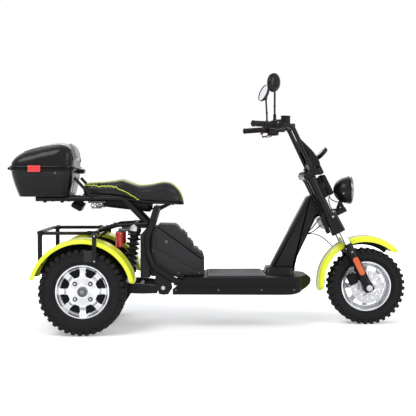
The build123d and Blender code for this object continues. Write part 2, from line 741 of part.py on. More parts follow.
with BuildPart() as top_yoke:
    with Locations(steering):
        with Locations((20, 0, 680)):
            Box(96, 2 * fork_half_spacing + 50, 30)
    fillet(top_yoke.edges(), 8)
    with Locations(steering):
        with Locations((0, 0, (437 + 670) / 2)):
            Cylinder(steerer_radius, 670 - 437)
keep(top_yoke, "top_yoke")
with BuildPart() as front_cover:
    with Locations(steering):
        with Locations((74, 0, 588)):
            Box(34, 96, 116)
        with Locations((49, 0, 600)):
            Box(18, 2 * fork_half_spacing, 34)
        for side in (-1, 1):
            with Locations((36, side * (fork_half_spacing - 6), 600)):
                Box(30, 16, 34)

keep(front_cover, "front_cover")

with BuildPart() as front_axle:
    with Locations(axis_plane(front_axle_x, front_tyre_radius)):
        Cylinder(axle_radius, 236)
    for side in (-1, 1):
        with Locations(axis_plane(front_axle_x, front_tyre_radius, side * 116)):
            Cylinder(16, 12)
        with Locations(axis_plane(front_axle_x, front_tyre_radius, side * 59.5)):
            Cylinder(16, 19)
keep(front_axle, "front_axle")

with BuildPart() as fork_reflectors:
    for side in (-1, 1):
        with Locations(steering):
            with Locations((fork_offset, side * (fork_half_spacing + lower_leg_radius), 130)):
                Box(30, 8, 104)
keep(fork_reflectors, "fork_reflectors")

with BuildPart() as caliper:
    with Locations(steering):
        with Locations((-26, rotor_y - 6, 75)):
            Box(44, 34, 58)
            with Locations((-6, 6, -10)):
                Box(80, rotor_thickness + 3, 70, mode=Mode.SUBTRACT)
        with Locations((6, -76, 76)):
            Box(36, 10, 40)
keep(caliper, "caliper")

# ---------------------------------------------------------------- front fender
front_fender_x = 855.0
front_fender_z = 223.0
front_fender_outer = 252.0
front_fender_half = 62.0
fender_node("fender_front", front_fender_x, front_fender_z, front_fender_outer, -front_fender_half, front_fender_half,
            43, 147, 30)

# ---------------------------------------------------------------- headlight
lamp_x = 690.0
lamp_z = 723.0
lamp_radius = 74.0
lamp_depth = 92.0
lamp_face = Plane(origin=(lamp_x + lamp_depth, 0, lamp_z), x_dir=(0, 1, 0), z_dir=(1, 0, 0))
with BuildPart() as headlight_shell:
    with BuildSketch(side_view) as shape:
        with BuildLine():
            back = Spline((lamp_x, lamp_z), (lamp_x + 12, lamp_z + 40), (lamp_x + 48, lamp_z + lamp_radius - 5),
                          (lamp_x + lamp_depth, lamp_z + lamp_radius), tangents=[(0, 1), (1, 0)])
            Polyline(back @ 1, (lamp_x + lamp_depth, lamp_z + lamp_radius - 4), (lamp_x + 48, lamp_z + lamp_radius - 9),
                     (lamp_x + 16, lamp_z + 36), (lamp_x + 6, lamp_z), back @ 0)
        make_face()
    revolve(axis=Axis((lamp_x, 0, lamp_z), (1, 0, 0)))
keep(headlight_shell, "headlight_shell")
with BuildPart() as headlight_lens:
    with BuildSketch(lamp_face.offset(-3)):
        Circle(lamp_radius - 4.3)
    extrude(amount=14, taper=20)
keep(headlight_lens, "headlight_lens")
# ---------------------------------------------------------------- handlebar and controls
bar_radius = 12.0
bar_leg_y = 92.0
bar_top = (452.0, bar_leg_y, 1066.0)
grip_in = (334.0, 212.0, 1064.0)
grip_out = (234.0, 302.0, 1062.0)
leg_foot = steering.from_local_coords(Vector(34, bar_leg_y, 690))
bar_routes = []
for side in (-1, 1):
    corner_points = [(leg_foot.X, side * bar_leg_y, leg_foot.Z), (bar_top[0], side * bar_top[1], bar_top[2]),
                     (grip_in[0], side * grip_in[1], grip_in[2]), (grip_out[0], side * grip_out[1], grip_out[2])]
    bar_routes.append((corner_points, [34, 40]))
tube_node("handlebar", bar_routes, bar_radius)
grip_run = Vector(*grip_out) - Vector(*grip_in)
grip_planes = {
    side: Plane(origin=(grip_in[0], side * grip_in[1], grip_in[2]), z_dir=(grip_run.X, side * grip_run.Y, grip_run.Z))
    for side in (-1, 1)
}
with BuildPart() as grips:
    for grip in grip_planes.values():
        with Locations(grip):
            with Locations((0, 0, grip_run.length / 2 + 4)):
                Cylinder(15, grip_run.length)
                Cylinder(bar_radius, grip_run.length, mode=Mode.SUBTRACT)
            with Locations((0, 0, grip_run.length + 7)):
                Cylinder(17.5, 8)
keep(grips, "grips")

with BuildPart() as levers:
    for side, grip in grip_planes.items():
        with Locations(grip):
            with Locations((0, 0, -22)):
                Cylinder(22, 34)
                Cylinder(bar_radius, 36, mode=Mode.SUBTRACT)
        with BuildLine() as lever:
            Polyline((grip_in[0] + 22, side * grip_in[1], grip_in[2] - 12),
                     (grip_in[0] + 62, side * (grip_in[1] + 14), grip_in[2] - 20),
                     (grip_in[0] - 2, side * (grip_in[1] + 106), grip_in[2] - 34))
        with BuildSketch(Plane(origin=lever.line @ 0, z_dir=lever.line % 0)):
            Rectangle(12, 10)
        sweep(path=lever.line, transition=Transition.RIGHT)
keep(levers, "levers")

with BuildPart() as mirror_stems:
    for side in (-1, 1):
        with BuildLine() as stem:
            FilletPolyline((348, side * 205, 1066), (347, side * 208, 1150), (344, side * 240, 1250), radius=30)
        with BuildSketch(Plane(origin=stem.line @ 0, z_dir=stem.line % 0)):
            Circle(5)
        sweep(path=stem.line)
        with Locations((348, side * 205, 1066)):
            Cylinder(17, 36)
keep(mirror_stems, "mirror_stems")

mirror_thickness = 22.0
with BuildPart() as mirrors:
    for side in (-1, 1):
        glass = Plane(origin=(341, side * 245, 1272), x_dir=(0.704, -side * 0.628, -0.309),
                      z_dir=(-0.66, -side * 0.74, 0))
        with BuildSketch(glass.offset(-mirror_thickness / 2)):
            Ellipse(34, 40)
        with BuildSketch(glass):
            Ellipse(43, 50)
        with BuildSketch(glass.offset(mirror_thickness / 2)):
            Ellipse(41, 48)
        loft(ruled=True)
keep(mirrors, "mirrors")

with BuildPart() as nacelle:
    for side in (-1, 1):
        with BuildSketch(fork_side.offset(-side * (bar_leg_y + 4))):
            with BuildLine():
                Polyline((30, 698), (84, 704), (88, 740), (76, 792), (48, 872), (30, 872), (46, 780), (26, 730), close=True)
            make_face()
        extrude(amount=side * 12)
    with Locations(steering):
        with Locations((72, 0, 755)):
            Box(28, 2 * bar_leg_y, 102)
        with Locations((56, 0, 716)):
            Box(60, 120, 36)
keep(nacelle, "nacelle")

with BuildPart() as display:
    with Locations(Plane(origin=(626, 0, 922), x_dir=(0, 1, 0), z_dir=(-0.73, 0, 0.68))):
        Cylinder(38, 24)
    with Locations(steering):
        with Locations((93, 0, 742)):
            Box(26, 24, 16)
keep(display, "display")

# ---------------------------------------------------------------- brake hoses and lamp leads


def cable_node(label, routes, radius):
    """Cables through chosen points, with each bend as wide as its two runs allow; the bend radii are printed."""
    bent = []
    for points in routes:
        bends = []
        for before, corner, after in zip(points, points[1:], points[2:]):
            run_in = Vector(*corner) - Vector(*before)
            run_out = Vector(*after) - Vector(*corner)
            half_turn = radians(run_in.get_angle(run_out)) / 2
            bends.append(0.45 * min(run_in.length, run_out.length) / tan(half_turn))
        print(label, [round(bend) for bend in bends])
        bent.append((points, bends))
    tube_node(label, bent, radius)


cable_node("brake_hoses", [
    [(544, -46, 487), (574, -47, 491), (612, -46, 478), (648, -42, 452), (678, -38, 421)],
    [(543, -48, 492), (562, -50, 494), (588, -52, 512), (613, -54, 536.5)],
    [(541, -47, 496), (560, -49, 510), (583, -52, 541), (608, -54, 571.5)],
], 3)
cable_node("lamp_leads", [
    [(664, -22, 693), (660, -22, 668), (668, -23, 636), (684, -22, 612)],
    [(665, -10, 694), (671, -8, 679), (690, -6, 664), (715.5, -5, 657.5)],
], 2.5)
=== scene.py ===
import math

import bmesh
import bpy
import numpy as np
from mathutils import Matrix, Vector
from mathutils.bvhtree import BVHTree


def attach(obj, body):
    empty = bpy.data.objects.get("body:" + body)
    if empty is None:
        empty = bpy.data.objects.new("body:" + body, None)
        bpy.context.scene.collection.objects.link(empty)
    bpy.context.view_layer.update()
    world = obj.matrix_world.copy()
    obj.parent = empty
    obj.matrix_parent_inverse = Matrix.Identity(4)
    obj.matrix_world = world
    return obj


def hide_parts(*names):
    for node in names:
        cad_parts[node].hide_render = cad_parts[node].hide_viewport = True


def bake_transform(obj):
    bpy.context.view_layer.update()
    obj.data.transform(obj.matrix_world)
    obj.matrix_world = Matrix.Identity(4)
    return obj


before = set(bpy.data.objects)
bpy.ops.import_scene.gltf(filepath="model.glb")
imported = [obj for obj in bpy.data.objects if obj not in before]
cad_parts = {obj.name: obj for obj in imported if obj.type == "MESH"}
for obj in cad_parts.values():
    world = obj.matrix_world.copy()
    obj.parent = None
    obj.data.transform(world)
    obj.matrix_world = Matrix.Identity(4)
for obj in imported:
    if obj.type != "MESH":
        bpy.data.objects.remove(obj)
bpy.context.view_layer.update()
MM = 0.001

# ---------------------------------------------------------------- places and directions
front_axle = np.array([865.0, 0.0, 203.0]) * MM
rear_axle = np.array([-628.0, 0.0, 218.0]) * MM
rake = math.radians(26.0)
fork_offset = 30.0 * MM
steer_up = np.array([-math.sin(rake), 0.0, math.cos(rake)])
steer_forward = np.array([math.cos(rake), 0.0, math.sin(rake)])
steer_foot = front_axle - fork_offset * steer_forward
left = np.array([0.0, 1.0, 0.0])
x_axis = np.array([1.0, 0.0, 0.0])
z_axis = np.array([0.0, 0.0, 1.0])
side_on = dict(across=(1, 0, 0), up=(0, 0, 1), normal=(0, 1, 0))

# half tracks in metres; the other values of this block are in millimetres
rear_half_track = 0.294
shock_half_track = 0.112
shock_top, shock_foot = (-384, 536), (-420, 244)
rear_radius, rear_width = 218.0, 182.0
front_radius, front_width = 203.0, 120.0
fork_half = 90
rack_half = 280
rack_rear = -852
rack_top = 508
seat_rear, seat_front = -666, -119.5
case_middle = -853
grip_in, grip_out = (334, 212, 1064), (234, 302, 1062)
lamp_back, clock_centre = (690, 0, 723), (626, 0, 922)
lid_foot, bowl_rim = 841, 837


def mm(x, y, z):
    """A point given in millimetres, in metres."""
    return MM * np.array([x, y, z])


def fork(forward, side, up):
    """A point given in millimetres forward of the steering axis, to the left of it and up along it."""
    return steer_foot + MM * (forward * steer_forward + side * left + up * steer_up)


# ---------------------------------------------------------------- camera, light and floor
def linked(name, data):
    """A new object that shows the data, put in the scene."""
    thing = bpy.data.objects.new(name, data)
    bpy.context.scene.collection.objects.link(thing)
    return thing


def stand_camera():
    """A long lens at the rider's right, a little above the seat, looking straight across the vehicle."""
    data = bpy.data.cameras.new("studio_camera")
    camera = linked("studio_camera", data)
    data.sensor_width = 36.0
    data.lens = 70.3
    camera.location = (-0.100, -4.400, 0.762)
    camera.rotation_euler = (math.radians(90.0 - 1.764), 0.0, math.radians(-1.411))
    bpy.context.scene.camera = camera


def soft_light(name, place, aim, size, power):
    """A rectangular lamp at place, facing aim."""
    data = bpy.data.lights.new(name, "AREA")
    data.shape = "RECTANGLE"
    data.size, data.size_y = size
    data.energy = power
    lamp = linked(name, data)
    away = np.array(place, float) - np.array(aim, float)
    flat = math.hypot(away[0], away[1])
    lamp.location = place
    lamp.rotation_euler = (math.atan2(flat, away[2]), 0.0, math.atan2(away[0], -away[1]))


def wire(tree, *pairs):
    """Joins pairs of sockets, each an output and an input."""
    for source, target in pairs:
        tree.links.new(source, target)


def add_node(tree, kind, operation=None, **inputs):
    """A new shader node with its operation and its named inputs set; a low line in a name stands for a space."""
    made = tree.nodes.new("ShaderNode" + kind)
    if operation:
        made.operation = operation
    for name, value in inputs.items():
        made.inputs[name.replace("_", " ")].default_value = value
    return made


def brighten(finish):
    """Lifts the floor towards white for the eye and for reflections only, a little near the object and wholly far
    from it, so that its shadow stays."""
    tree = finish.node_tree
    out, base = (next(node for node in tree.nodes if node.type == kind)
                 for kind in ("OUTPUT_MATERIAL", "BSDF_PRINCIPLED"))
    path = add_node(tree, "LightPath")
    seen, clear, share = (add_node(tree, "Math", operation) for operation in ("MAXIMUM", "MAXIMUM", "MULTIPLY"))
    place = add_node(tree, "TexCoord")
    distance = add_node(tree, "VectorMath", "LENGTH")
    fade = add_node(tree, "MapRange", From_Min=1.2, From_Max=2.6, To_Min=0.30, To_Max=1.0)
    glow = add_node(tree, "Emission")
    both = add_node(tree, "AddShader")
    wire(tree, (place.outputs["Object"], distance.inputs[0]), (distance.outputs["Value"], fade.inputs["Value"]),
         (path.outputs["Is Camera Ray"], seen.inputs[0]), (path.outputs["Is Glossy Ray"], seen.inputs[1]),
         (seen.outputs[0], clear.inputs[0]), (path.outputs["Is Transmission Ray"], clear.inputs[1]),
         (clear.outputs[0], share.inputs[0]), (fade.outputs["Result"], share.inputs[1]),
         (share.outputs[0], glow.inputs["Strength"]), (base.outputs[0], both.inputs[0]),
         (glow.outputs[0], both.inputs[1]), (both.outputs[0], out.inputs["Surface"]))


def studio():
    """White surroundings, three soft lamps and a pale floor that keeps the shadow."""
    world = bpy.data.worlds.new("studio")
    bpy.context.scene.world = world
    world.use_nodes = True
    tree = world.node_tree
    tree.nodes.clear()
    out = add_node(tree, "OutputWorld")
    mix = add_node(tree, "MixShader")
    path = add_node(tree, "LightPath")
    seen, clear = add_node(tree, "Math", "MAXIMUM"), add_node(tree, "Math", "MAXIMUM")
    ambient = add_node(tree, "Background", Color=(0.93, 0.95, 1.0, 1), Strength=0.55)
    white = add_node(tree, "Background", Color=(1, 1, 1, 1), Strength=1.0)
    wire(tree, (path.outputs["Is Camera Ray"], seen.inputs[0]), (path.outputs["Is Glossy Ray"], seen.inputs[1]),
         (seen.outputs[0], clear.inputs[0]), (path.outputs["Is Transmission Ray"], clear.inputs[1]),
         (clear.outputs[0], mix.inputs["Fac"]), (ambient.outputs[0], mix.inputs[1]),
         (white.outputs[0], mix.inputs[2]), (mix.outputs[0], out.inputs["Surface"]))

    soft_light("key", (-2.2, -3.2, 4.2), (0.0, 0.0, 0.4), (2.6, 2.6), 150)
    soft_light("front", (3.4, -2.6, 2.4), (0.2, 0.0, 0.5), (2.0, 2.4), 70)
    soft_light("back", (-0.4, 3.6, 3.4), (0.0, 0.0, 0.5), (3.4, 1.6), 60)

    reach = np.linspace(-9.0, 9.0, 3)
    grid = np.stack(np.meshgrid(reach, reach, indexing="ij") + [np.zeros((3, 3))], axis=-1)
    brighten(finishes["floor"])
    floor = mesh_object("floor", shell(grid, wrap=(False, False)), "floor", None)
    bpy.context.scene.view_settings.view_transform = "Standard"


# ---------------------------------------------------------------- surfaces
def shell(grid, wrap=(False, True), caps=False):
    """Points and faces of a grid of rows and columns; wrap joins last to first, caps close the end rows."""
    rows, cols = grid.shape[:2]
    row = np.arange(rows if wrap[0] else rows - 1)[:, None]
    col = np.arange(cols if wrap[1] else cols - 1)[None, :]
    next_row = (row + 1) % rows
    next_col = (col + 1) % cols
    faces = np.stack([row * cols + col, row * cols + next_col, next_row * cols + next_col, next_row * cols + col],
                     axis=-1)
    faces = faces.reshape(-1, 4).tolist()
    if caps:
        faces.append(list(range(cols))[::-1])
        faces.append(list(range((rows - 1) * cols, rows * cols)))
    return grid.reshape(-1, 3), faces


def turn_angles(count):
    """Evenly spaced angles once round a circle."""
    return np.linspace(0, 2 * np.pi, count, endpoint=False)


def together(*shells):
    """Several shells as one list of points and faces."""
    points, faces, count = [], [], 0
    for some_points, some_faces in shells:
        points.append(some_points)
        faces += [[i + count for i in face] for face in some_faces]
        count += len(some_points)
    return np.concatenate(points), faces


def mesh_object(name, part, finish, body, crease=35.0, closed=True, replaces=(), weld=2e-6):
    """Makes the mesh, closes its seams, turns it outwards and shades it smooth up to the crease angle."""
    points, faces = part
    data = bpy.data.meshes.new(name)
    data.from_pydata(points.tolist(), [], faces)
    shape = bmesh.new()
    shape.from_mesh(data)
    bmesh.ops.remove_doubles(shape, verts=shape.verts, dist=weld)
    bmesh.ops.dissolve_degenerate(shape, edges=shape.edges, dist=weld)
    if closed:
        bmesh.ops.recalc_face_normals(shape, faces=shape.faces)
        if shape.calc_volume(signed=True) < 0:
            bmesh.ops.reverse_faces(shape, faces=shape.faces)
    shape.to_mesh(data)
    shape.free()
    data.shade_smooth()
    data.set_sharp_from_angle(angle=math.radians(crease))
    piece = linked(name, data)
    data.materials.append(finishes[finish])
    if body:
        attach(piece, body)
        if replaces:
            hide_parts(*replaces)
    return piece


def lathed(profile, centre, axis, across, turns=96, start=0.0, sweep=360.0, closed=True):
    """A profile of (radius, height) pairs, in millimetres, turned about an axis:
    centre + h*axis + r*(cos a, sin a)."""
    profile = np.asarray(profile, float) * MM
    full = sweep >= 360.0
    angle = np.radians(start + np.linspace(0.0, sweep, turns + (0 if full else 1), endpoint=not full))
    third = np.cross(axis, across)
    around = np.cos(angle)[:, None] * across + np.sin(angle)[:, None] * third
    grid = (np.asarray(centre) + profile[None, :, 1, None] * np.asarray(axis)
            + profile[None, :, 0, None] * around[:, None, :])
    return shell(grid, wrap=(full, closed), caps=not full)


def tangents(path):
    """Unit directions along a path of points."""
    step = np.gradient(path, axis=0)
    return step / np.linalg.norm(step, axis=1, keepdims=True)


def swept(section, path, upright=(0.0, 1.0, 0.0), scale=None, caps=True, loop=False):
    """A flat section of (across, up) pairs, in metres, carried square to a path; scale widens it along the way."""
    path = np.asarray(path, float)
    if loop:
        along = np.roll(path, -1, axis=0) - np.roll(path, 1, axis=0)
        along /= np.linalg.norm(along, axis=1, keepdims=True)
    else:
        along = tangents(path)
    side = np.cross(along, np.asarray(upright, float))
    side /= np.linalg.norm(side, axis=1, keepdims=True)
    up = np.cross(side, along)
    section = np.asarray(section, float)
    size = np.ones(len(path)) if scale is None else np.asarray(scale, float)
    grid = (path[:, None, :] + size[:, None, None]
            * (section[None, :, 0, None] * side[:, None, :] + section[None, :, 1, None] * up[:, None, :]))
    return shell(grid, wrap=(loop, True), caps=caps and not loop)


def ring(radius, count=20):
    """A circle of (across, up) pairs, radius in millimetres."""
    angle = turn_angles(count)
    return radius * MM * np.stack([np.cos(angle), np.sin(angle)], axis=1)


def curve_through(points, count=40):
    """A smooth path through points in millimetres: a Catmull-Rom curve, evenly divided."""
    points = np.asarray(points, float) * MM
    padded = np.concatenate([2 * points[:1] - points[1:2], points, 2 * points[-1:] - points[-2:-1]])
    where = np.linspace(0, len(points) - 1 - 1e-9, count)
    index = where.astype(int)
    t = (where - index)[:, None]
    a, b, c, d = (padded[index + k] for k in range(4))
    return 0.5 * (2 * b + (c - a) * t + (2 * a - 5 * b + 4 * c - d) * t**2 + (3 * b - a - 3 * c + d) * t**3)


def outline_normals(outline):
    """Outward unit normals at the corners of a closed flat outline, long enough to keep an even margin."""
    before = outline - np.roll(outline, 1, axis=0)
    after = np.roll(outline, -1, axis=0) - outline
    before /= np.linalg.norm(before, axis=1, keepdims=True)
    after /= np.linalg.norm(after, axis=1, keepdims=True)
    normal = np.stack([before[:, 1] + after[:, 1], -(before[:, 0] + after[:, 0])], axis=1)
    normal /= np.linalg.norm(normal, axis=1, keepdims=True)
    edge = np.stack([before[:, 1], -before[:, 0]], axis=1)
    lean = np.clip(np.sum(normal * edge, axis=1), 0.35, 1.0)
    area = np.sum(outline[:, 0] * np.roll(outline[:, 1], -1) - np.roll(outline[:, 0], -1) * outline[:, 1])
    return normal / lean[:, None] * np.sign(area)


def slab(outline, low, high, bevel=2.0, origin=(0, 0, 0), across=(1, 0, 0), up=(0, 0, 1), normal=None, steps=3):
    """A flat outline of (across, up) millimetre pairs with thickness from low to high and rounded rims: each
    ring is the outline moved in by bevel*(1 - cos t) while it rises by bevel*sin t."""
    outline = np.asarray(outline, float)
    normals = outline_normals(outline)
    across, up = np.asarray(across, float), np.asarray(up, float)
    normal = np.cross(up, across) if normal is None else np.asarray(normal, float)
    angle = np.linspace(0, np.pi / 2, steps + 1)
    inset = np.concatenate([bevel * (1 - np.sin(angle)), bevel * (1 - np.cos(angle))])
    height = np.concatenate([low + bevel * (1 - np.cos(angle)), high - bevel * (1 - np.sin(angle))])
    flat = outline[None] - inset[:, None, None] * normals[None]
    grid = (np.asarray(origin, float) + MM * (flat[..., 0, None] * across + flat[..., 1, None] * up
            + height[:, None, None] * normal))
    return shell(grid, caps=True)


def rounded(corners, radii, steps=5):
    """A closed flat outline with its corners rounded by arcs; corners and radii in millimetres."""
    corners = np.asarray(corners, float)
    radii = np.broadcast_to(np.asarray(radii, float), (len(corners),))
    pieces = []
    for i, (corner, radius) in enumerate(zip(corners, radii)):
        if radius <= 0:
            pieces.append(corner[None])
            continue
        back = corners[i - 1] - corner
        on = corners[(i + 1) % len(corners)] - corner
        limit = 0.48 * min(np.linalg.norm(back), np.linalg.norm(on))
        back /= np.linalg.norm(back)
        on /= np.linalg.norm(on)
        half = 0.5 * math.acos(np.clip(back @ on, -1, 1))
        reach = min(radius / math.tan(half), limit)
        t = np.linspace(0, 1, steps + 1)[:, None]
        pieces.append(corner + back * reach * (1 - t) ** 2 + on * reach * t**2)
    return np.concatenate(pieces)


def block(centre, size, radius, axes=((1, 0, 0), (0, 1, 0), (0, 0, 1)), steps=3):
    """A box with round edges and corners: a sphere of latitudes and longitudes pulled apart at its quarters."""
    half = np.asarray(size, float) / 2 - radius
    quarter = np.linspace(0, np.pi / 2, steps + 1)
    lon = np.concatenate([quarter + k * np.pi / 2 for k in range(4)])
    lon_mid = np.repeat(np.pi / 4 + np.arange(4) * np.pi / 2, steps + 1)
    lat = np.concatenate([quarter - np.pi / 2, quarter])
    top = np.repeat([-1.0, 1.0], steps + 1)
    x = np.sign(np.cos(lon_mid)) * half[0] + radius * np.cos(lat)[:, None] * np.cos(lon)
    y = np.sign(np.sin(lon_mid)) * half[1] + radius * np.cos(lat)[:, None] * np.sin(lon)
    z = (top * half[2] + radius * np.sin(lat))[:, None] * np.ones_like(lon)
    local = np.stack([x, y, z], axis=-1) * MM
    return shell(np.asarray(centre, float) + local @ np.asarray(axes, float), caps=True)


def rod(start, end, radius, chamfer=1.0, count=24, end_radius=None):
    """A round bar between two points in metres, with chamfered ends."""
    start, end = np.asarray(start, float), np.asarray(end, float)
    axis = end - start
    length = np.linalg.norm(axis) / MM
    axis /= np.linalg.norm(axis)
    helper = z_axis if abs(axis[2]) < 0.9 else x_axis
    across = np.cross(axis, helper)
    across /= np.linalg.norm(across)
    last = radius if end_radius is None else end_radius
    profile = [(0, 0), (radius - chamfer, 0), (radius, chamfer), (last, length - chamfer), (last - chamfer, length),
               (0, length)]
    return lathed(profile, start, axis, across, turns=count, closed=False)


def copies(part, places, turns=None):
    """The same points and faces set down at several places, each with its own turn matrix."""
    points, faces = part
    places = np.asarray(places, float)
    if turns is None:
        moved = points[None] + places[:, None, :]
    else:
        moved = np.einsum("pk,nkj->npj", points, np.asarray(turns)) + places[:, None, :]
    count = len(points)
    every = [[i + n * count for i in face] for n in range(len(places)) for face in faces]
    return moved.reshape(-1, 3), every


# ---------------------------------------------------------------- finishes
def make_finish(name, colour, rough, metal=0.0, coat=0.0, tone=0.10, wear=0.07, patch=7.0, bumps=(), sheen=0.0,
                clear=0.0, second=None, gloss=0.5):
    """A material whose colour and roughness drift slowly in patches; bumps lists (kind, size, depth) layers."""
    material = bpy.data.materials.new(name)
    material.use_nodes = True
    tree = material.node_tree
    tree.nodes.clear()
    out = add_node(tree, "OutputMaterial")
    body = add_node(tree, "BsdfPrincipled", Metallic=metal, Specular_IOR_Level=gloss, Coat_Weight=coat,
                    Coat_Roughness=0.06,
                    Sheen_Weight=sheen, Transmission_Weight=clear)
    place = add_node(tree, "TexCoord")
    patches = add_node(tree, "TexNoise", Scale=patch, Detail=4.0)
    ramp = add_node(tree, "Mix")
    ramp.data_type = "RGBA"
    darker = second or [c * (1 - tone) for c in colour]
    lighter = [min(1.0, c * (1 + tone) + tone * 0.01) for c in colour]
    ramp.inputs[6].default_value = (*darker, 1)
    ramp.inputs[7].default_value = (*lighter, 1)
    spread = add_node(tree, "MapRange", From_Min=0.3, From_Max=0.7, To_Min=max(0.02, rough - wear),
                      To_Max=min(1.0, rough + wear))
    wire(tree, (place.outputs["Object"], patches.inputs["Vector"]), (patches.outputs["Fac"], ramp.inputs[0]),
         (ramp.outputs[2], body.inputs["Base Color"]), (patches.outputs["Fac"], spread.inputs["Value"]),
         (spread.outputs["Result"], body.inputs["Roughness"]), (body.outputs["BSDF"], out.inputs["Surface"]))
    normal = None
    for kind, size, depth in bumps:
        stretch = add_node(tree, "Mapping", Scale=(1.0, 0.03, 1.0) if kind == "brushed" else (1.0, 1.0, 1.0))
        if kind == "cells":
            relief = add_node(tree, "TexVoronoi", Scale=1.0 / size)
            relief.feature = "DISTANCE_TO_EDGE"
        else:
            relief = add_node(tree, "TexNoise", Scale=1.0 / size, Detail=3.0)
        height = relief.outputs["Distance" if kind == "cells" else "Fac"]
        bump = add_node(tree, "Bump", Strength=0.6, Distance=depth)
        wire(tree, (place.outputs["Object"], stretch.inputs["Vector"]),
             (stretch.outputs["Vector"], relief.inputs["Vector"]),
             (height, bump.inputs["Height"]))
        if normal is not None:
            wire(tree, (normal, bump.inputs["Normal"]))
        normal = bump.outputs["Normal"]
    if normal is not None:
        wire(tree, (normal, body.inputs["Normal"]))
    return material


looks = {
    "frame_paint": dict(colour=(0.0055, 0.0055, 0.006), rough=0.36, coat=0.06, gloss=0.15,
                        bumps=[("noise", 0.0012, 0.0001)]),
    "black_plastic": dict(colour=(0.0055, 0.0055, 0.006), rough=0.47, gloss=0.14, bumps=[("noise", 0.0008, 0.00012)]),
    "case_grey": dict(colour=(0.021, 0.021, 0.023), rough=0.56, gloss=0.22, bumps=[("noise", 0.0012, 0.0004)]),
    "gloss_black": dict(colour=(0.005, 0.005, 0.006), rough=0.25, coat=0.05, gloss=0.17, wear=0.04),
    "yellow": dict(colour=(0.80, 0.86, 0.028), rough=0.32, coat=0.12, tone=0.05, wear=0.04,
                   second=(0.72, 0.79, 0.020)),
    "tyre": dict(colour=(0.009, 0.009, 0.0095), rough=0.70, gloss=0.16, tone=0.25, wear=0.12,
                        bumps=[("noise", 0.0015, 0.0004), ("noise", 0.02, 0.0008)]),
    "alloy": dict(colour=(0.72, 0.73, 0.75), rough=0.27, metal=0.92, tone=0.04, bumps=[("brushed", 0.004, 0.00008)]),
    "alloy_dark": dict(colour=(0.10, 0.105, 0.115), rough=0.42, metal=0.85),
    "steel": dict(colour=(0.52, 0.52, 0.54), rough=0.34, metal=1.0, bumps=[("brushed", 0.003, 0.0001)]),
    "chrome": dict(colour=(0.86, 0.87, 0.89), rough=0.06, metal=1.0, tone=0.02, wear=0.03),
    "dark_chrome": dict(colour=(0.20, 0.205, 0.22), rough=0.13, metal=1.0, tone=0.04, wear=0.03),
    "vinyl": dict(colour=(0.006, 0.006, 0.0075), rough=0.38, gloss=0.24, sheen=0.02,
                         bumps=[("cells", 0.0035, 0.0004), ("noise", 0.03, 0.0012)]),
    "piping": dict(colour=(0.60, 0.68, 0.035), rough=0.42, bumps=[("noise", 0.001, 0.0002)]),
    "mat": dict(colour=(0.12, 0.122, 0.128), rough=0.74, gloss=0.35, bumps=[("noise", 0.0012, 0.0003)]),
    "rubber": dict(colour=(0.008, 0.008, 0.0085), rough=0.60, gloss=0.2, bumps=[("noise", 0.001, 0.0002)]),
    "red_lens": dict(colour=(0.72, 0.022, 0.020), rough=0.15, coat=0.4, bumps=[("cells", 0.004, 0.0008)]),
    "orange_lens": dict(colour=(0.66, 0.095, 0.008), rough=0.2, coat=0.3, bumps=[("cells", 0.004, 0.0008)]),
    "red_paint": dict(colour=(0.48, 0.010, 0.009), rough=0.22, coat=0.5),
    "clear": dict(colour=(0.82, 0.86, 0.89), rough=0.03, clear=1.0, wear=0.01, tone=0.01),
    "bulb": dict(colour=(0.93, 0.92, 0.88), rough=0.25, coat=0.5, tone=0.03),
    "mirror_glass": dict(colour=(0.82, 0.85, 0.88), rough=0.03, metal=1.0, wear=0.01, tone=0.02),
    "screen": dict(colour=(0.010, 0.014, 0.020), rough=0.07, coat=1.0, wear=0.02),
    "silver_trim": dict(colour=(0.25, 0.25, 0.26), rough=0.38, metal=0.4),
    "floor": dict(colour=(0.88, 0.88, 0.88), rough=0.75, tone=0.01, wear=0.05, patch=0.8, gloss=0.2),
}
finishes = {name: make_finish(name, **look) for name, look in looks.items()}

# the nodes of model.glb that wear each finish
node_finish = {
    "frame_paint": "frame_rails subframe_rails cross_members backbone case_mount rear_rack rack_mounts swing_arm "
                   "shock_mounts fork_legs lower_yoke upper_tubes top_yoke mirror_stems handlebar",
    "black_plastic": "tail_lamp caliper deck_shell seat_bucket seat_base front_cover levers mirrors nacelle "
                     "display case_latch",
    "case_grey": "battery_case battery_lid battery_pack",
    "gloss_black": "case_base case_lid headlight_shell shock_springs",
    "yellow": "fender_rear_left fender_rear_right fender_front",
    "tyre": "tyre_front tyre_rear_left tyre_rear_right",
    "alloy": "rim_front rim_rear_left rim_rear_right",
    "alloy_dark": "axle_housing",
    "steel": "brake_rotor front_axle shocks",
    "chrome": "stanchions",
    "vinyl": "seat_cushion",
    "mat": "deck_mat",
    "rubber": "grips brake_hoses lamp_leads",
    "red_lens": "case_reflectors",
    "orange_lens": "fork_reflectors",
    "red_paint": "shock_reservoirs",
    "clear": "headlight_lens",
}
for finish_name, nodes in node_finish.items():
    for node in nodes.split():
        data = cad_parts[node].data
        data.materials.clear()
        data.materials.append(finishes[finish_name])


# ---------------------------------------------------------------- tyres
def along_axle(centre, outward):
    """Axes for a wheel piece: the axle's outward direction and the direction that angle 0 points in."""
    return np.asarray(centre, float), np.array([0.0, float(outward), 0.0]), x_axis


def turned_about_axle(part, centre, angles, lean=0.0):
    """Copies of a part, made at the top of a wheel centred on the origin, turned about the Y axis and set
    at centre."""
    angles = np.asarray(angles, float)
    zero, one = np.zeros_like(angles), np.ones_like(angles)
    turns = np.stack([np.stack([np.cos(angles), zero, np.sin(angles)], 1), np.stack([zero, one, zero], 1),
                      np.stack([-np.sin(angles), zero, np.cos(angles)], 1)], 1)
    return copies(part, np.repeat(np.asarray(centre)[None], len(angles), 0), turns)


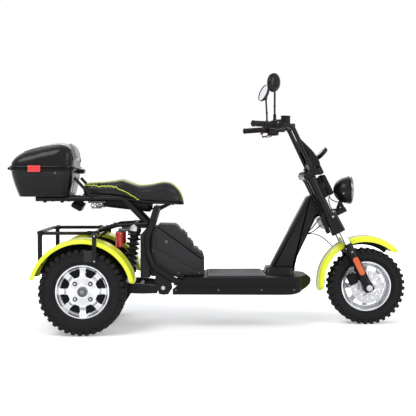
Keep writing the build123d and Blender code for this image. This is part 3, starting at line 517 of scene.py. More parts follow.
def tread_block(across, out, size, tilt=0.0, twist=0.0):
    """A small block with softened rims at the top of a wheel: size is along, across and outward in millimetres,
    tilt leans it about the running direction and twist turns it on the tread."""
    along = np.array([math.cos(twist), math.sin(twist), 0.0])
    normal = np.array([0.0, math.sin(tilt), math.cos(tilt)])
    side = np.cross(normal, along)
    side /= np.linalg.norm(side)
    along = np.cross(side, normal)
    top = np.array([0.0, across, out]) * MM
    centre = top - normal * size[2] / 2 * MM
    return block(centre, size, 2.0, (along, side, normal), steps=1)


def tyre(name, centre, radius, width, crown, count, body, side_block, belt_drop):
    """A carcass turned about the axle, r(t) through rim, sidewall and tread, under rows of staggered blocks."""
    half = width / 2
    bead, rim = half * 0.62, 137.0
    shoulder = radius - crown - belt_drop
    guide = np.array([(bead - 4, rim - 3), (bead, rim), (half - 12, rim + 7), (half - 4, rim + 18),
                      (half - 2.5, (rim + shoulder) / 2 + 6),
                      (half - 4.5, shoulder - 6), (half * 0.86, shoulder + 3),
                      (half * 0.62, radius - belt_drop - crown * 0.35),
                      (half * 0.3, radius - belt_drop + 0.5), (0, radius - belt_drop + 1)])
    right = curve_through(np.c_[guide, np.zeros(len(guide))], 60)[:, :2] / MM
    for ridge in (rim + 13, rim + 19, shoulder - 12):
        right[:, 0] += 1.2 * np.exp(-((right[:, 1] - ridge) / 1.6) ** 2) * (right[:, 0] > bead)
    left_side = right[::-1] * (-1, 1)
    profile = np.concatenate([right, left_side[1:]])[:, ::-1]
    carcass = lathed(profile, *along_axle(centre, 1), turns=128)
    step = 2 * np.pi / count
    place = np.arange(count) * step
    slope = math.atan2(crown, half * 0.56)
    parts = [carcass]
    for side in (-1, 1):
        shift = side * step / 4
        long_block = tread_block(side * half * 0.72, radius - crown * 0.5 - 0.5,
                                 (side_block, half * 0.60, 16), side * slope, side * 0.12)
        wall_block = tread_block(side * (half + 0.5), shoulder + 4, (side_block * 0.8, 26, 8), side * 1.42)
        middle = tread_block(side * half * 0.2, radius - 0.5, (side_block * 1.05, half * 0.34, 14), side * 0.03,
                             side * 0.35)
        parts.append(turned_about_axle(long_block, centre, place + shift))
        parts.append(turned_about_axle(wall_block, centre, place + shift))
        parts.append(turned_about_axle(middle, centre, place + shift + step / 2))
    mesh_object(name, together(*parts), "tyre", body, crease=40, replaces=[name], weld=1e-7)


# ---------------------------------------------------------------- rims
def windowed_face(centre, outward, count, window, inner, outer, front, depth, bevel=2.0):
    """A disc with one rounded window in each of count sectors. Rings of points run from each window's back edge
    over its wall and bevel to the sector's border; front(r) is the face's height and depth its thickness."""
    sector = 2 * np.pi / count
    per_side = 10
    corner_angles = np.array([-sector / 2, sector / 2])
    radial = np.linspace(inner, outer, per_side, endpoint=False)
    turn = np.linspace(-sector / 2, sector / 2, per_side, endpoint=False)
    border = np.concatenate([
        np.c_[radial, np.full(per_side, corner_angles[0])],
        np.c_[np.full(per_side, outer), turn],
        np.c_[radial[::-1] + (outer - inner) / per_side, np.full(per_side, corner_angles[1])],
        np.c_[np.full(per_side, inner), -turn],
    ])
    border_xy = np.c_[border[:, 0] * np.cos(border[:, 1]), border[:, 0] * np.sin(border[:, 1])]
    hole = resampled(window, border_xy)
    inward = -outline_normals(hole)
    levels = [hole, hole, hole - bevel * 0.3 * inward, hole - bevel * inward]
    drops = [depth, bevel, bevel * 0.3, 0.0]
    flat = levels[-1]
    for share in (0.35, 0.7, 1.0):
        levels.append((1 - share) * flat + share * border_xy)
        drops.append(0.0)
    grid = np.stack(levels)
    drop = np.array(drops)[:, None]
    parts = []
    axis_centre, axis, across = along_axle(centre, outward)
    third = np.cross(axis, across)
    for k in range(count):
        a = k * sector + sector / 2
        x = grid[..., 0] * math.cos(a) - grid[..., 1] * math.sin(a)
        y = grid[..., 0] * math.sin(a) + grid[..., 1] * math.cos(a)
        height = front(np.hypot(x, y)) - drop
        points = axis_centre + MM * (x[..., None] * across + y[..., None] * third + height[..., None] * axis)
        parts.append(shell(points))
    return together(*parts)


def resampled(outline, like):
    """Points of a closed outline in the directions, from its centre, of the points of another."""
    middle = outline.mean(axis=0)
    fine = np.concatenate([outline, outline[:1]])
    fine = np.stack([np.interp(np.linspace(0, len(fine) - 1, 2000), np.arange(len(fine)), fine[:, k])
                     for k in (0, 1)], 1)
    around = np.arctan2(*(fine - middle).T[::-1])
    wanted = np.arctan2(*(like - middle).T[::-1])
    nearest = np.abs(np.angle(np.exp(1j * (wanted[:, None] - around[None])))).argmin(axis=1)
    return fine[nearest]


def rim(name, centre, outward, half, face_out, window, count, hub, hub_out, body, inner, outer):
    """A cast wheel: a turned barrel with machined lips, a windowed face and a stepped hub."""
    barrel = [(136, -half), (128, -half + 1), (126, -half + 6), (124, -half + 14), (114, -half + 24), (113, 0),
              (114, half - 24),
              (124, half - 14), (126, half - 6), (128, half - 1), (134, half), (136, half - 1.5), (136.5, half - 4),
              (131, half - 5.5),
              (129, half - 12), (127, half - 18), (118, half - 28), (117, 0), (118, -half + 28), (127, -half + 18),
              (129, -half + 12), (131, -half + 5.5), (136.5, -half + 4)]
    parts = [lathed(barrel, *along_axle(centre, outward), turns=120)]

    def front(r):
        """The face's height over the wheel's middle: a shallow dish that rises to the hub and to the rim."""
        return face_out - 3 + 4.0 * np.cos(np.clip((r - hub) / (118 - hub), 0, 1) * 2 * np.pi)

    parts.append(windowed_face(centre, outward, count, window, inner, outer, front, 12.0))
    parts.append(lathed(hub_out, *along_axle(centre, outward), turns=72))
    return mesh_object(name, together(*parts), "alloy", body, crease=32, replaces=[name])


rear_window = rounded([(75, -12), (82, -17), (116, -32), (116, 32), (82, 17), (75, 12)], [7, 5, 8, 8, 5, 7])
front_window = rounded([(46, -6), (108, -30), (108, 30), (46, 6)], [4, 9, 9, 4])
rear_hub = [(13, -46), (48, -46), (50, -44), (50, 24), (74, 26), (75, 30), (74, 34.5), (68, 37), (40, 38), (38, 39),
            (38, 44.5), (36, 46), (13, 46)]
front_hub = [(13, -48), (32, -48), (34, -46), (34, -12), (42, -8), (42, 8), (34, 12), (34, 46), (32, 48), (13, 48)]


def wheels():
    """Tyres, rims, nuts and their seats, hub marks, caps and discs."""
    for side, word in ((1, "left"), (-1, "right")):
        centre = rear_axle + side * rear_half_track * left
        body = "rear_wheel_" + word
        tyre("tyre_rear_" + word, centre, rear_radius, rear_width, 12.0, 38, body, 26.0, 8.0)
        rim("rim_rear_" + word, centre, side, 56.4, 36.0, rear_window, 8, 78.0, rear_hub, body, 68.0, 124.0)
        nuts, seats, marks = [], [], []
        axis = np.array([0.0, side, 0.0])
        for k in range(4):
            angle = (k + 0.5) * np.pi / 2
            spot = along_axle(centre, side)[0] + 55 * MM * np.array([math.cos(angle), 0, math.sin(angle)])
            profile = [(0, 30), (7, 30), (7, 42), (5.5, 44), (0, 44)]
            nuts.append(lathed(profile, spot, axis, x_axis, turns=6, closed=False))
            profile = [(0, 36), (11.5, 36), (11.5, 38.6), (10.5, 39.2), (0, 39.2)]
            seats.append(lathed(profile, spot, axis, x_axis, turns=28, closed=False))
        for angle in np.arange(14) * 2 * np.pi / 14:
            out = np.array([math.cos(angle), 0.0, math.sin(angle)])
            marks.append(block(centre + MM * (58.2 * axis + 19.5 * out), (3.4, 5.6, 2.4), 0.7,
                               (np.cross(axis, out), out, axis), steps=2))
        mesh_object("lug_nuts_" + word, together(*nuts), "steel", body)
        mesh_object("lug_seats_" + word, together(*seats), "black_plastic", body)
        mesh_object("hub_marks_" + word, together(*marks), "black_plastic", body)
        cap = [(26, 46), (27, 49), (26.5, 54), (25, 57), (23, 58.5), (12, 59), (10, 60.5), (0, 61)]
        mesh_object("hub_cap_" + word, lathed(cap, *along_axle(centre, side), turns=64, closed=False),
                    "silver_trim", body, closed=False)
        disc = lathed([(49, 12), (110, 9), (112, 11), (112, 14), (110, 15), (49, 18)], *along_axle(centre, side),
                      turns=72)
        mesh_object("wheel_disc_" + word, disc, "black_plastic", body)
    rim("rim_front", front_axle, -1, 37.2, 6.0, front_window, 8, 44.0, front_hub, "front_wheel", 38.0, 118.0)
    tyre("tyre_front", front_axle, front_radius, front_width, 9.0, 36, "front_wheel", 24.0, 6.0)


# ---------------------------------------------------------------- fenders
def fender(name, centre, outer, low, high, start, sweep, drop, body, tip=14.0):
    """A curved band over a wheel: a rounded channel section carried along an arc, its lips and width drawn in
    towards both tips as the square root of the distance from the tip."""
    half, middle = (high - low) / 2, (high + low) / 2
    angle = np.radians(start + np.linspace(0, sweep, 96))
    length = outer * (angle - angle[0])
    end = np.minimum(length, length[-1] - length)
    ease = np.sqrt(np.clip(end / tip, 0.0, 1.0) * (2 - np.clip(end / tip, 0.0, 1.0)))
    corner, skin = 13.0, 3.5
    bend = np.linspace(0, np.pi / 2, 8)
    wall = np.linspace(-drop, -corner, 7)
    outside = np.concatenate([
        np.c_[np.full(7, half), wall],
        np.c_[half - corner + corner * np.cos(bend), -corner + corner * np.sin(bend)],
        np.c_[np.linspace(half - corner - 4, 0, 8), 1.5 - 1.5 * np.linspace(1, 0, 8) ** 2],
    ])
    dent = 2.5 * np.exp(-((outside[:, 1] + drop * 0.52) / 2.2) ** 2) * (outside[:, 0] > half - 4)
    outside[:, 0] -= dent
    whole = np.concatenate([outside, outside[::-1][1:] * (-1, 1)])
    inside = whole[::-1].copy()
    inside[:, 0] = np.clip(inside[:, 0], -half + skin, half - skin)
    inside[:, 1] = np.minimum(inside[:, 1], -skin)
    section = np.concatenate([whole, inside])
    width = (half - tip * (1 - ease)) / half
    y = middle + section[None, :, 0] * width[:, None]
    lift = section[None, :, 1] * np.where(section[None, :, 1] < 0, 0.25 + 0.75 * ease[:, None], 1.0)
    radius = outer + lift
    grid = np.stack([centre[0] + MM * radius * np.cos(angle)[:, None], centre[1] + MM * y,
                     centre[2] + MM * radius * np.sin(angle)[:, None]], axis=-1)
    return mesh_object(name, shell(grid, caps=True), "yellow", body, crease=50, replaces=[name])


def fenders():
    """Three yellow fenders, black sheets beside the rear wheels that paint the shade under those fenders, and the
    front one's back strip, partly its black inner face and partly painted shade.
    """
    for side, word in ((1, "left"), (-1, "right")):
        low, high = sorted((side * 198.0, side * 396.0))
        fender("fender_rear_" + word, rear_axle, 265.0, low, high, 10, 156, 21, "frame")
        # painted shade: a black sheet just inboard of each rear tyre, under its fender, darkens the arc between band
        # and tyre where the fender's shade falls
        angle = np.radians(np.linspace(14, 162, 80))
        radial = np.linspace(178, 250, 8)
        wall = np.stack([np.stack([rear_axle[0] + MM * r * np.cos(angle), np.full_like(angle, side * 0.2015),
                                   rear_axle[2] + MM * r * np.sin(angle)], -1) for r in radial])
        other = wall + np.array([0, -side * 0.003, 0])
        loop = np.concatenate([wall, other[::-1]])
        mesh_object("painted_shade_wall_" + word, shell(loop.transpose(1, 0, 2), caps=True), "black_plastic", "frame")
        plate = block(mm(-590, side * 397, 400), (48, 4, 58), 1.5)
        mesh_object("fender_plate_" + word, plate, "case_grey", "frame")
    centre = np.array([0.855, 0.0, 0.223])
    angle = np.radians(np.linspace(50, 184, 70))
    arc = np.stack([np.cos(angle), 0 * angle, np.sin(angle)], -1)
    # a black sheet on the far inside of the front fender: partly the fender's black inner face, partly painted shade
    # under the fender
    rows = [centre + MM * (r * arc + (0, y, 0)) for r, y in ((200, 54), (244, 54), (244, 57), (200, 57))]
    mesh_object("fender_liner_and_shade", shell(np.array(rows).transpose(1, 0, 2), caps=True), "black_plastic", "steering")
    fender("fender_front", centre, 252.0, -62.0, 62.0, 43, 147, 30, "steering", tip=30.0)


# ---------------------------------------------------------------- rims, hollow shells and plates that hug a surface
def even(outline, count):
    """A closed flat outline divided into count even steps."""
    closed = np.concatenate([outline, outline[:1]])
    length = np.concatenate([[0], np.cumsum(np.linalg.norm(np.diff(closed, axis=0), axis=1))])
    where = np.linspace(0, length[-1], count, endpoint=False)
    return np.stack([np.interp(where, length, closed[:, k]) for k in (0, 1)], axis=1)


def plan_outline(back, front, half, radius, count, steps):
    """A rectangle in plan with rounded corners, divided into count even steps."""
    corners = [(back, -half), (front, -half), (front, half), (back, half)]
    return even(rounded(corners, radius, steps), count)


def band(outline, section):
    """A ring that follows a closed plan outline; section lists (outward, height) pairs, all in millimetres."""
    outline = np.asarray(outline, float)
    section = np.asarray(section, float)
    flat = outline[:, None] + section[None, :, 0, None] * outline_normals(outline)[:, None]
    height = np.broadcast_to(section[None, :, 1, None], flat.shape[:2] + (1,))
    return shell(MM * np.concatenate([flat, height], axis=-1), wrap=(True, True))


def hollow(outer, inner):
    """A thin-walled cap: outer and inner rows, in millimetres, that each close at the last row
    and meet at the first."""
    return together(shell(MM * outer), shell(MM * inner), shell(MM * np.stack([outer[0], inner[0]])))


def hollow_ring(outer, inner):
    """A wall open above and below: up the outer rings and back down the inner ones."""
    return shell(MM * np.concatenate([outer, inner[::-1], outer[:1]]))


def patch(surface, u_span, v_span, lift, counts=(12, 12), sink=1.5, edge=0.04):
    """A plate that hugs surface(u, v), which gives millimetre points: its middle stands lift over the surface along
    the normal, and it slopes to the surface within the edge share of each side."""
    shares = [np.concatenate([[0], np.linspace(edge, 1 - edge, n), [1]]) for n in counts]
    u, v = np.meshgrid(*[low + s * (high - low) for s, (low, high) in zip(shares, (u_span, v_span))], indexing="ij")
    step = 1e-3
    points = surface(u, v)
    normal = np.cross(surface(u + step, v) - points, surface(u, v + step) - points)
    normal /= np.linalg.norm(normal, axis=-1, keepdims=True)
    height = np.full(u.shape, float(lift))
    height[[0, -1]] = 0
    height[:, [0, -1]] = 0
    top = points + height[..., None] * normal
    low = points - sink * np.sign(lift) * normal
    sides = [np.stack([a[0], b[0]]) for a, b in ((top, low), (low[::-1], top[::-1]))]
    sides += [np.stack([a[:, 0], b[:, 0]]) for a, b in ((top, low), (low[:, ::-1], top[:, ::-1]))]
    flat = dict(wrap=(False, False))
    return together(shell(MM * top, **flat), shell(MM * low, **flat), *[shell(MM * side, **flat) for side in sides])


def mirrored(part):
    """A part and its twin on the vehicle's other side."""
    points, faces = part
    return together(part, (points * (1, -1, 1), [face[::-1] for face in faces]))


def button(spot, outward, radius=5.0, height=3.0, turns=20):
    """A round screw head with a hexagonal socket, standing at a spot in millimetres and facing outward."""
    outward = np.asarray(outward, float) / np.linalg.norm(outward)
    across = np.cross(outward, (0.3, 0.2, 0.93))
    across /= np.linalg.norm(across)
    profile = [(0, height * 0.45), (radius * 0.42, height * 0.45), (radius * 0.46, height),
               (radius * 0.72, height * 0.96),
               (radius, height * 0.45), (radius, -1.5), (0, -1.5)]
    return lathed(profile, MM * np.asarray(spot, float), outward, across, turns=turns, closed=False)


# ---------------------------------------------------------------- top case
case_count = 168
case_plan = plan_outline(-1040, -697, 195, 70, case_count, 10)
shell_plan = case_plan.copy()
shell_plan[:, 0] = np.where(case_plan[:, 0] < -900, -900 + (case_plan[:, 0] + 900) * 122 / 140, case_plan[:, 0])
floor_plan = plan_outline(-985, -722, 152, 42, case_count, 10)
lid_height = np.polyfit(np.array([-1040, -1000, -940, -870, -800, -738, -697]) / 100,
                        [58, 80, 102, 119, 130, 135, 128], 4)


def around_plan(plan, place):
    """The plan's point at a fractional place in its list."""
    steps = np.arange(len(plan))
    return np.stack([np.interp(place, steps, plan[:, k], period=len(plan)) for k in (0, 1)], axis=-1)


def lid_point(place, t, inset=0.0):
    """A rim point moves in by cos(t)^(2/n) as it rises by sin(t)^(2/n) of the height there; n is larger in front."""
    rim_point = around_plan(shell_plan - inset * outline_normals(shell_plan), place)
    n = 3.0 + 2.0 * np.clip((rim_point[..., 0] + 1022) / 325, 0, 1) ** 1.5
    inward = np.abs(np.cos(t)) ** (2 / n)
    rise = np.sin(t) ** (2 / n)
    x = -850 + inward * (rim_point[..., 0] + 850)
    y = inward * rim_point[..., 1]
    top = np.polyval(lid_height, x / 100) * (1 - 0.09 * (np.abs(y) / 195) ** 2.5)
    crease = 3.0 * np.tanh((lid_foot + rise * top - 838 - 0.8 * (x + 860)) / 5.0)
    near = np.clip((x + 905) / 30, 0, 1) * np.clip((-720 - x) / 40, 0, 1) * np.clip((np.abs(y) - 150) / 30, 0, 1)
    y = y + np.sign(y) * crease * near * np.sin(2 * np.clip(t, 0, np.pi / 2))
    return np.stack([x, y, lid_foot + rise * (top - inset)], axis=-1)


def base_point(place, share, inset=0.0):
    """The bowl runs from the rim outline to the smaller floor outline, blended by share^1.5, as it sinks."""
    blend = (np.clip(share, 0, 1) ** 1.5)[..., None]
    flat = (1 - blend) * around_plan(shell_plan, place) + blend * around_plan(floor_plan, place)
    middle = np.array([case_middle, 0.0])
    away = flat - middle
    flat = flat - inset * away / np.linalg.norm(away, axis=-1, keepdims=True)
    return np.concatenate([flat, (bowl_rim - 141 * share)[..., None]], axis=-1)


def top_case():
    """A glossy lidded case: domed lid, tapered bowl, seam band, trim, latch, reflectors, feet and hinge."""
    place, t = np.meshgrid(np.arange(case_count), np.linspace(0, np.pi / 2, 34), indexing="xy")
    lid = hollow(lid_point(place, t), lid_point(place, t, 3.5))
    lip = band(shell_plan, [(-4, 840), (7.5, 840.5), (9, 842), (9, 848), (7.5, 850), (-1, 852)])
    side_place = np.concatenate([np.linspace(2, 41, 60), np.linspace(41.5, 50, 24)])
    side_t = np.concatenate([np.full(60, 1.02), 1.02 - 0.97 * np.linspace(0, 1, 24) ** 1.6])
    spine = MM * lid_point(side_place, side_t)
    rib = swept(np.array([(-5, -1.5), (-1.5, 1.6), (1.5, 1.6), (5, -1.5)]) * MM, spine, upright=(0.0, -0.55, 0.83))
    mesh_object("case_lid_shell", together(lid, lip, mirrored(rib)), "gloss_black", "case_lid",
                replaces=["case_lid"], crease=40)

    place, share = np.meshgrid(np.arange(case_count), np.linspace(0, 1, 24), indexing="xy")
    wall, inner = base_point(place, share), base_point(place, share, 4.0)
    t = np.linspace(0, np.pi / 2, 6)[1:, None, None]
    bottom, pan = wall[-1][None], inner[-1][None] + (0, 0, 4)
    away = (bottom - (case_middle, 0, 696)) / np.linalg.norm(bottom - (case_middle, 0, 696), axis=-1, keepdims=True)
    turn_in = bottom - 10 * (1 - np.cos(t)) * away - np.array([0, 0, 6.0]) * np.sin(t)
    disc = [(case_middle, 0, 690) + s * (turn_in[-1:] - (case_middle, 0, 690)) for s in (0.6, 0.0)]
    plate = [(case_middle, 0, 700) + s * (pan - (case_middle, 0, 700)) for s in (0.6, 0.0)]
    bowl = hollow(np.concatenate([wall, turn_in, *disc]), np.concatenate([inner, *plate]))
    lip = band(shell_plan, [(-4, 838), (7.5, 837.5), (9, 836), (9, 829), (7, 827), (-1, 825)])
    panel = patch(base_point, (20, 36), (0.10, 0.27), 3.5, edge=0.05)
    grooves = [patch(base_point, (15, 38), rows, 1.6, counts=(16, 2), edge=0.2)
               for rows in ((0.355, 0.375), (0.30, 0.315))]
    mesh_object("case_bowl", together(bowl, lip, *map(mirrored, (panel, *grooves))),
                "gloss_black", "frame", replaces=["case_base"], crease=40)
    keyhole = button((-784, -195.5, 813), (0, -1, 0), 6.5, 2.0)
    slot = block(mm(-784, -197.6, 812), (2.4, 1.2, 11), 0.5)
    mesh_object("case_lock", together(keyhole, slot), "alloy_dark", "frame")

    fronts = patch(lid_point, (61, 78), (0.06, 1.05), 9.0, counts=(20, 20), edge=0.06)
    mesh_object("lid_trim", fronts, "silver_trim", "case_lid")
    fronts = patch(base_point, (60, 78), (0.12, 0.95), 9.0, counts=(20, 14), edge=0.06)
    mesh_object("bowl_trim", fronts, "silver_trim", "frame")
    for side in (-1, 1):
        lens = block(mm(-890, side * 208.5, 835), (66, 8, 33), 3.5, steps=4)
        bezel = block(mm(-890, side * 200.5, 825), (70, 10, 22), 2.5)
        word = "right" if side < 0 else "left"
        mesh_object("case_reflector_" + word, lens, "red_lens", "frame",
                    replaces=["case_reflectors"] if side < 0 else ())
        mesh_object("case_reflector_seat_" + word, bezel, "black_plastic", "frame")

    outline = even(rounded([(-697, 812), (-664, 812), (-657, 818), (-657, 836), (-697, 836)], 4), 48)
    plate = slab(outline, -34, 34, 2.5, **side_on)
    barrel = lathed([(7, -38), (10.5, -38), (11.5, -37), (11.5, 37), (10.5, 38), (7, 38)], mm(-668, 0, 824),
                    left, x_axis, turns=40)
    mesh_object("case_catch", together(plate, barrel), "black_plastic", "frame",
                replaces=["case_latch"])
    hinge = [rod(mm(-1037, y, 838), mm(-1037, y + 44, 838), 7.5, 1.2) for y in (-120, -70, 26, 76)]
    mesh_object("case_hinge", together(*hinge), "black_plastic", "frame")
    feet = [rod(mm(x, side * 120, 659), mm(x, side * 120, 670), 9, 2) for x in (-850, -760) for side in (-1, 1)]
    mesh_object("case_feet", together(*feet), "rubber", "frame")


# ---------------------------------------------------------------- saddle
seat_x = np.array([-666, -650, -560, -500, -452, -420, -385, -355, -300, -250, -215, -180, -150, -130, -120])
seat_top = np.array([748, 762, 767, 773, 781, 772, 758, 751, 755, 766, 769, 758, 733, 703, 679])
seat_floor = np.array([700, 697, 693, 689, 683, 676, 669, 664, 659, 656, 653, 650, 648, 647, 647])
seat_half = np.array([74, 88, 112, 124, 128, 127, 125, 124, 119, 109, 103, 92, 80, 68, 58])
cloth_frames, skin_cell, most_puff = 20, 0.006, 0.006  # frames; metres between skin points; metres it may swell


def seat_line(table, x):
    """A smooth reading of a seat table along x, by a Catmull-Rom curve through its points."""
    path = curve_through(np.c_[seat_x, table, np.zeros(len(seat_x))], 400) / MM
    return np.interp(x, path[:, 0], path[:, 1])


def seat_end(x):
    """The distance from x to the nearer end of the saddle, in millimetres."""
    return np.minimum(x - seat_rear, seat_front - x)


def squeeze(mesh, paths, width, depth):
    """Presses the skin in along seams: each vertex moves in by depth*exp(-(distance to the seam / width)^2)."""
    count = len(mesh.vertices)
    points, normals = np.empty(count * 3), np.empty(count * 3)
    mesh.vertices.foreach_get("co", points)
    mesh.vertices.foreach_get("normal", normals)
    points, normals = points.reshape(-1, 3), normals.reshape(-1, 3)
    gap = np.full(count, 1.0)
    for path in paths:
        for point in path[::2]:
            gap = np.minimum(gap, np.linalg.norm(points - point, axis=1))
    points = points - normals * (depth * MM * np.exp(-(gap / (width * MM)) ** 2))[:, None]
    mesh.vertices.foreach_set("co", points.ravel())
    mesh.update()


def on_skin(piece, points, lift):
    """Points in millimetres dropped on the nearest place of a skin, then lifted off it."""
    tree = BVHTree.FromPolygons([v.co for v in piece.data.vertices], [p.vertices for p in piece.data.polygons])
    found = [tree.find_nearest(Vector(MM * np.asarray(point, float))) for point in points]
    return np.array([np.array(place) + MM * lift * np.array(normal) for place, normal, _, _ in found])


def saddle():
    """A two-place seat: superellipse sections between the floor line and the top line, puffed up by a cloth
    simulation, with lime piping and pressed seams."""
    fine = np.concatenate([[-665.0, -663.5, -660], np.linspace(-655, -134, 88), [-129, -125, -121.5, -120]])
    top, low, half = (seat_line(table, fine) for table in (seat_top, seat_floor, seat_half))
    end = seat_end(fine)
    close = np.sqrt(np.clip(end / 26, 0.02, 1) * (2 - np.clip(end / 26, 0.02, 1)))
    angle = turn_angles(72)
    c, s = np.cos(angle), np.sin(angle)
    wide = np.sign(c) * np.abs(c) ** (2 / np.where(s > 0, 3.0, 7.0))
    tall = np.sign(s) * np.abs(s) ** (2 / np.where(s > 0, 2.7, 9.0))
    middle = low + 0.42 * (top - low)
    height = np.where(s > 0, (top - middle)[:, None] - 4, (middle - low)[:, None])
    tuck = 1 - 0.10 * np.clip(-s, 0, 1)
    waist = 1 - 0.10 * np.exp(-((fine + 345) / 60) ** 2)[:, None] * np.clip(s, 0, 1)
    y = (half * close)[:, None] * wide * tuck * waist - 4 * np.sign(wide) * close[:, None]
    z = middle[:, None] + tall * height * (0.35 + 0.65 * close[:, None])
    grid = MM * np.stack([np.broadcast_to(fine[:, None], y.shape), y, z], axis=-1)
    cushion = mesh_object("saddle_cushion", shell(grid, caps=True), "vinyl", "seat", replaces=["seat_cushion"],
                          crease=180)
    bpy.context.view_layer.objects.active = cushion
    cushion.select_set(True)
    remesh = cushion.modifiers.new("remesh", "REMESH")
    remesh.mode, remesh.voxel_size = "VOXEL", skin_cell
    bpy.ops.object.modifier_apply(modifier=remesh.name)
    start = np.empty(len(cushion.data.vertices) * 3)
    cushion.data.vertices.foreach_get("co", start)
    cloth = cushion.modifiers.new("cloth", "CLOTH")
    cloth.settings.use_pressure = True
    cloth.settings.uniform_pressure_force = 4.0
    cloth.settings.effector_weights.gravity = 0.0
    cloth.settings.tension_stiffness = 30.0
    cloth.settings.bending_stiffness = 4.0
    for number in range(1, cloth_frames + 1):
        bpy.context.scene.frame_set(number)
    puffed = cushion.evaluated_get(bpy.context.evaluated_depsgraph_get())
    finish_place = np.empty_like(start)
    puffed.data.vertices.foreach_get("co", finish_place)
    cushion.modifiers.remove(cloth)
    bpy.context.scene.frame_set(1)
    start, finish_place = start.reshape(-1, 3), finish_place.reshape(-1, 3)
    move = finish_place - start
    length = np.linalg.norm(move, axis=1, keepdims=True)
    move *= np.minimum(1.0, most_puff / np.maximum(length, 1e-9))
    move[:, 2] *= np.clip((start[:, 2] - 0.660) / 0.03, 0.15, 1.0)
    cushion.data.vertices.foreach_set("co", (start + move).ravel())
    smooth = cushion.modifiers.new("smooth", "SMOOTH")
    smooth.factor, smooth.iterations = 0.5, 4
    bpy.ops.object.modifier_apply(modifier=smooth.name)
    finer = cushion.modifiers.new("finer", "SUBSURF")
    finer.levels = finer.render_levels = 1
    bpy.ops.object.modifier_apply(modifier=finer.name)
    cushion.data.shade_smooth()
    cushion.select_set(False)

    arc = curve_through([(-664, 74, 757), (-600, 104, 762), (-550, 117, 759), (-500, 127, 749), (-450, 131, 732),
                         (-410, 130, 712), (-378, 128, 686), (-364, 126, 664)], 90) / MM
    ridge = curve_through([(-665, 40, 758), (-625, 56, 767), (-560, 66, 768), (-500, 70, 774), (-452, 70, 784),
                           (-415, 66, 766),
                           (-355, 58, 750), (-290, 54, 756), (-235, 50, 768), (-195, 46, 766), (-160, 40, 742),
                           (-132, 32, 708),
                           (-117, 26, 676), (-116, 24, 662)], 130) / MM
    fold = curve_through([(-455, 128, 742), (-400, 126, 722), (-340, 124, 704), (-280, 116, 694), (-210, 106, 690),
                          (-150, 84, 692), (-128, 66, 694)], 90) / MM
    seams, folds = [], []
    for side in (-1, 1):
        for line in (arc, ridge):
            seams.append(on_skin(cushion, line * (1, side, 1), 0.0))
        folds.append(on_skin(cushion, fold * (1, side, 1), 0.0))
    squeeze(cushion.data, seams, 5.0, 2.2)
    squeeze(cushion.data, folds, 16.0, 5.0)
    tubes = []
    for side in (-1, 1):
        for line in (arc, ridge):
            spine = on_skin(cushion, line * (1, side, 1), 1.1)
            tubes.append(swept(ring(2.6, 10), spine, upright=(0.05, side * 0.4, 0.9)))
    mesh_object("saddle_piping", together(*tubes), "piping", "seat", crease=60)
    edge_x = np.linspace(-659, -126, 120)
    half = seat_line(seat_half, edge_x) * np.sqrt(np.clip(seat_end(edge_x) / 26, 0.1, 1))
    rim_line = np.stack([edge_x, half - 2, seat_line(seat_floor, edge_x) + 3], axis=-1)
    rim_line = np.concatenate([rim_line, rim_line[::-1] * (1, -1, 1)])
    welt = swept(ring(4.0, 10), rim_line * MM, upright=(0.0, 0.0, 1.0), loop=True)
    mesh_object("saddle_edge", welt, "vinyl", "seat", crease=60)


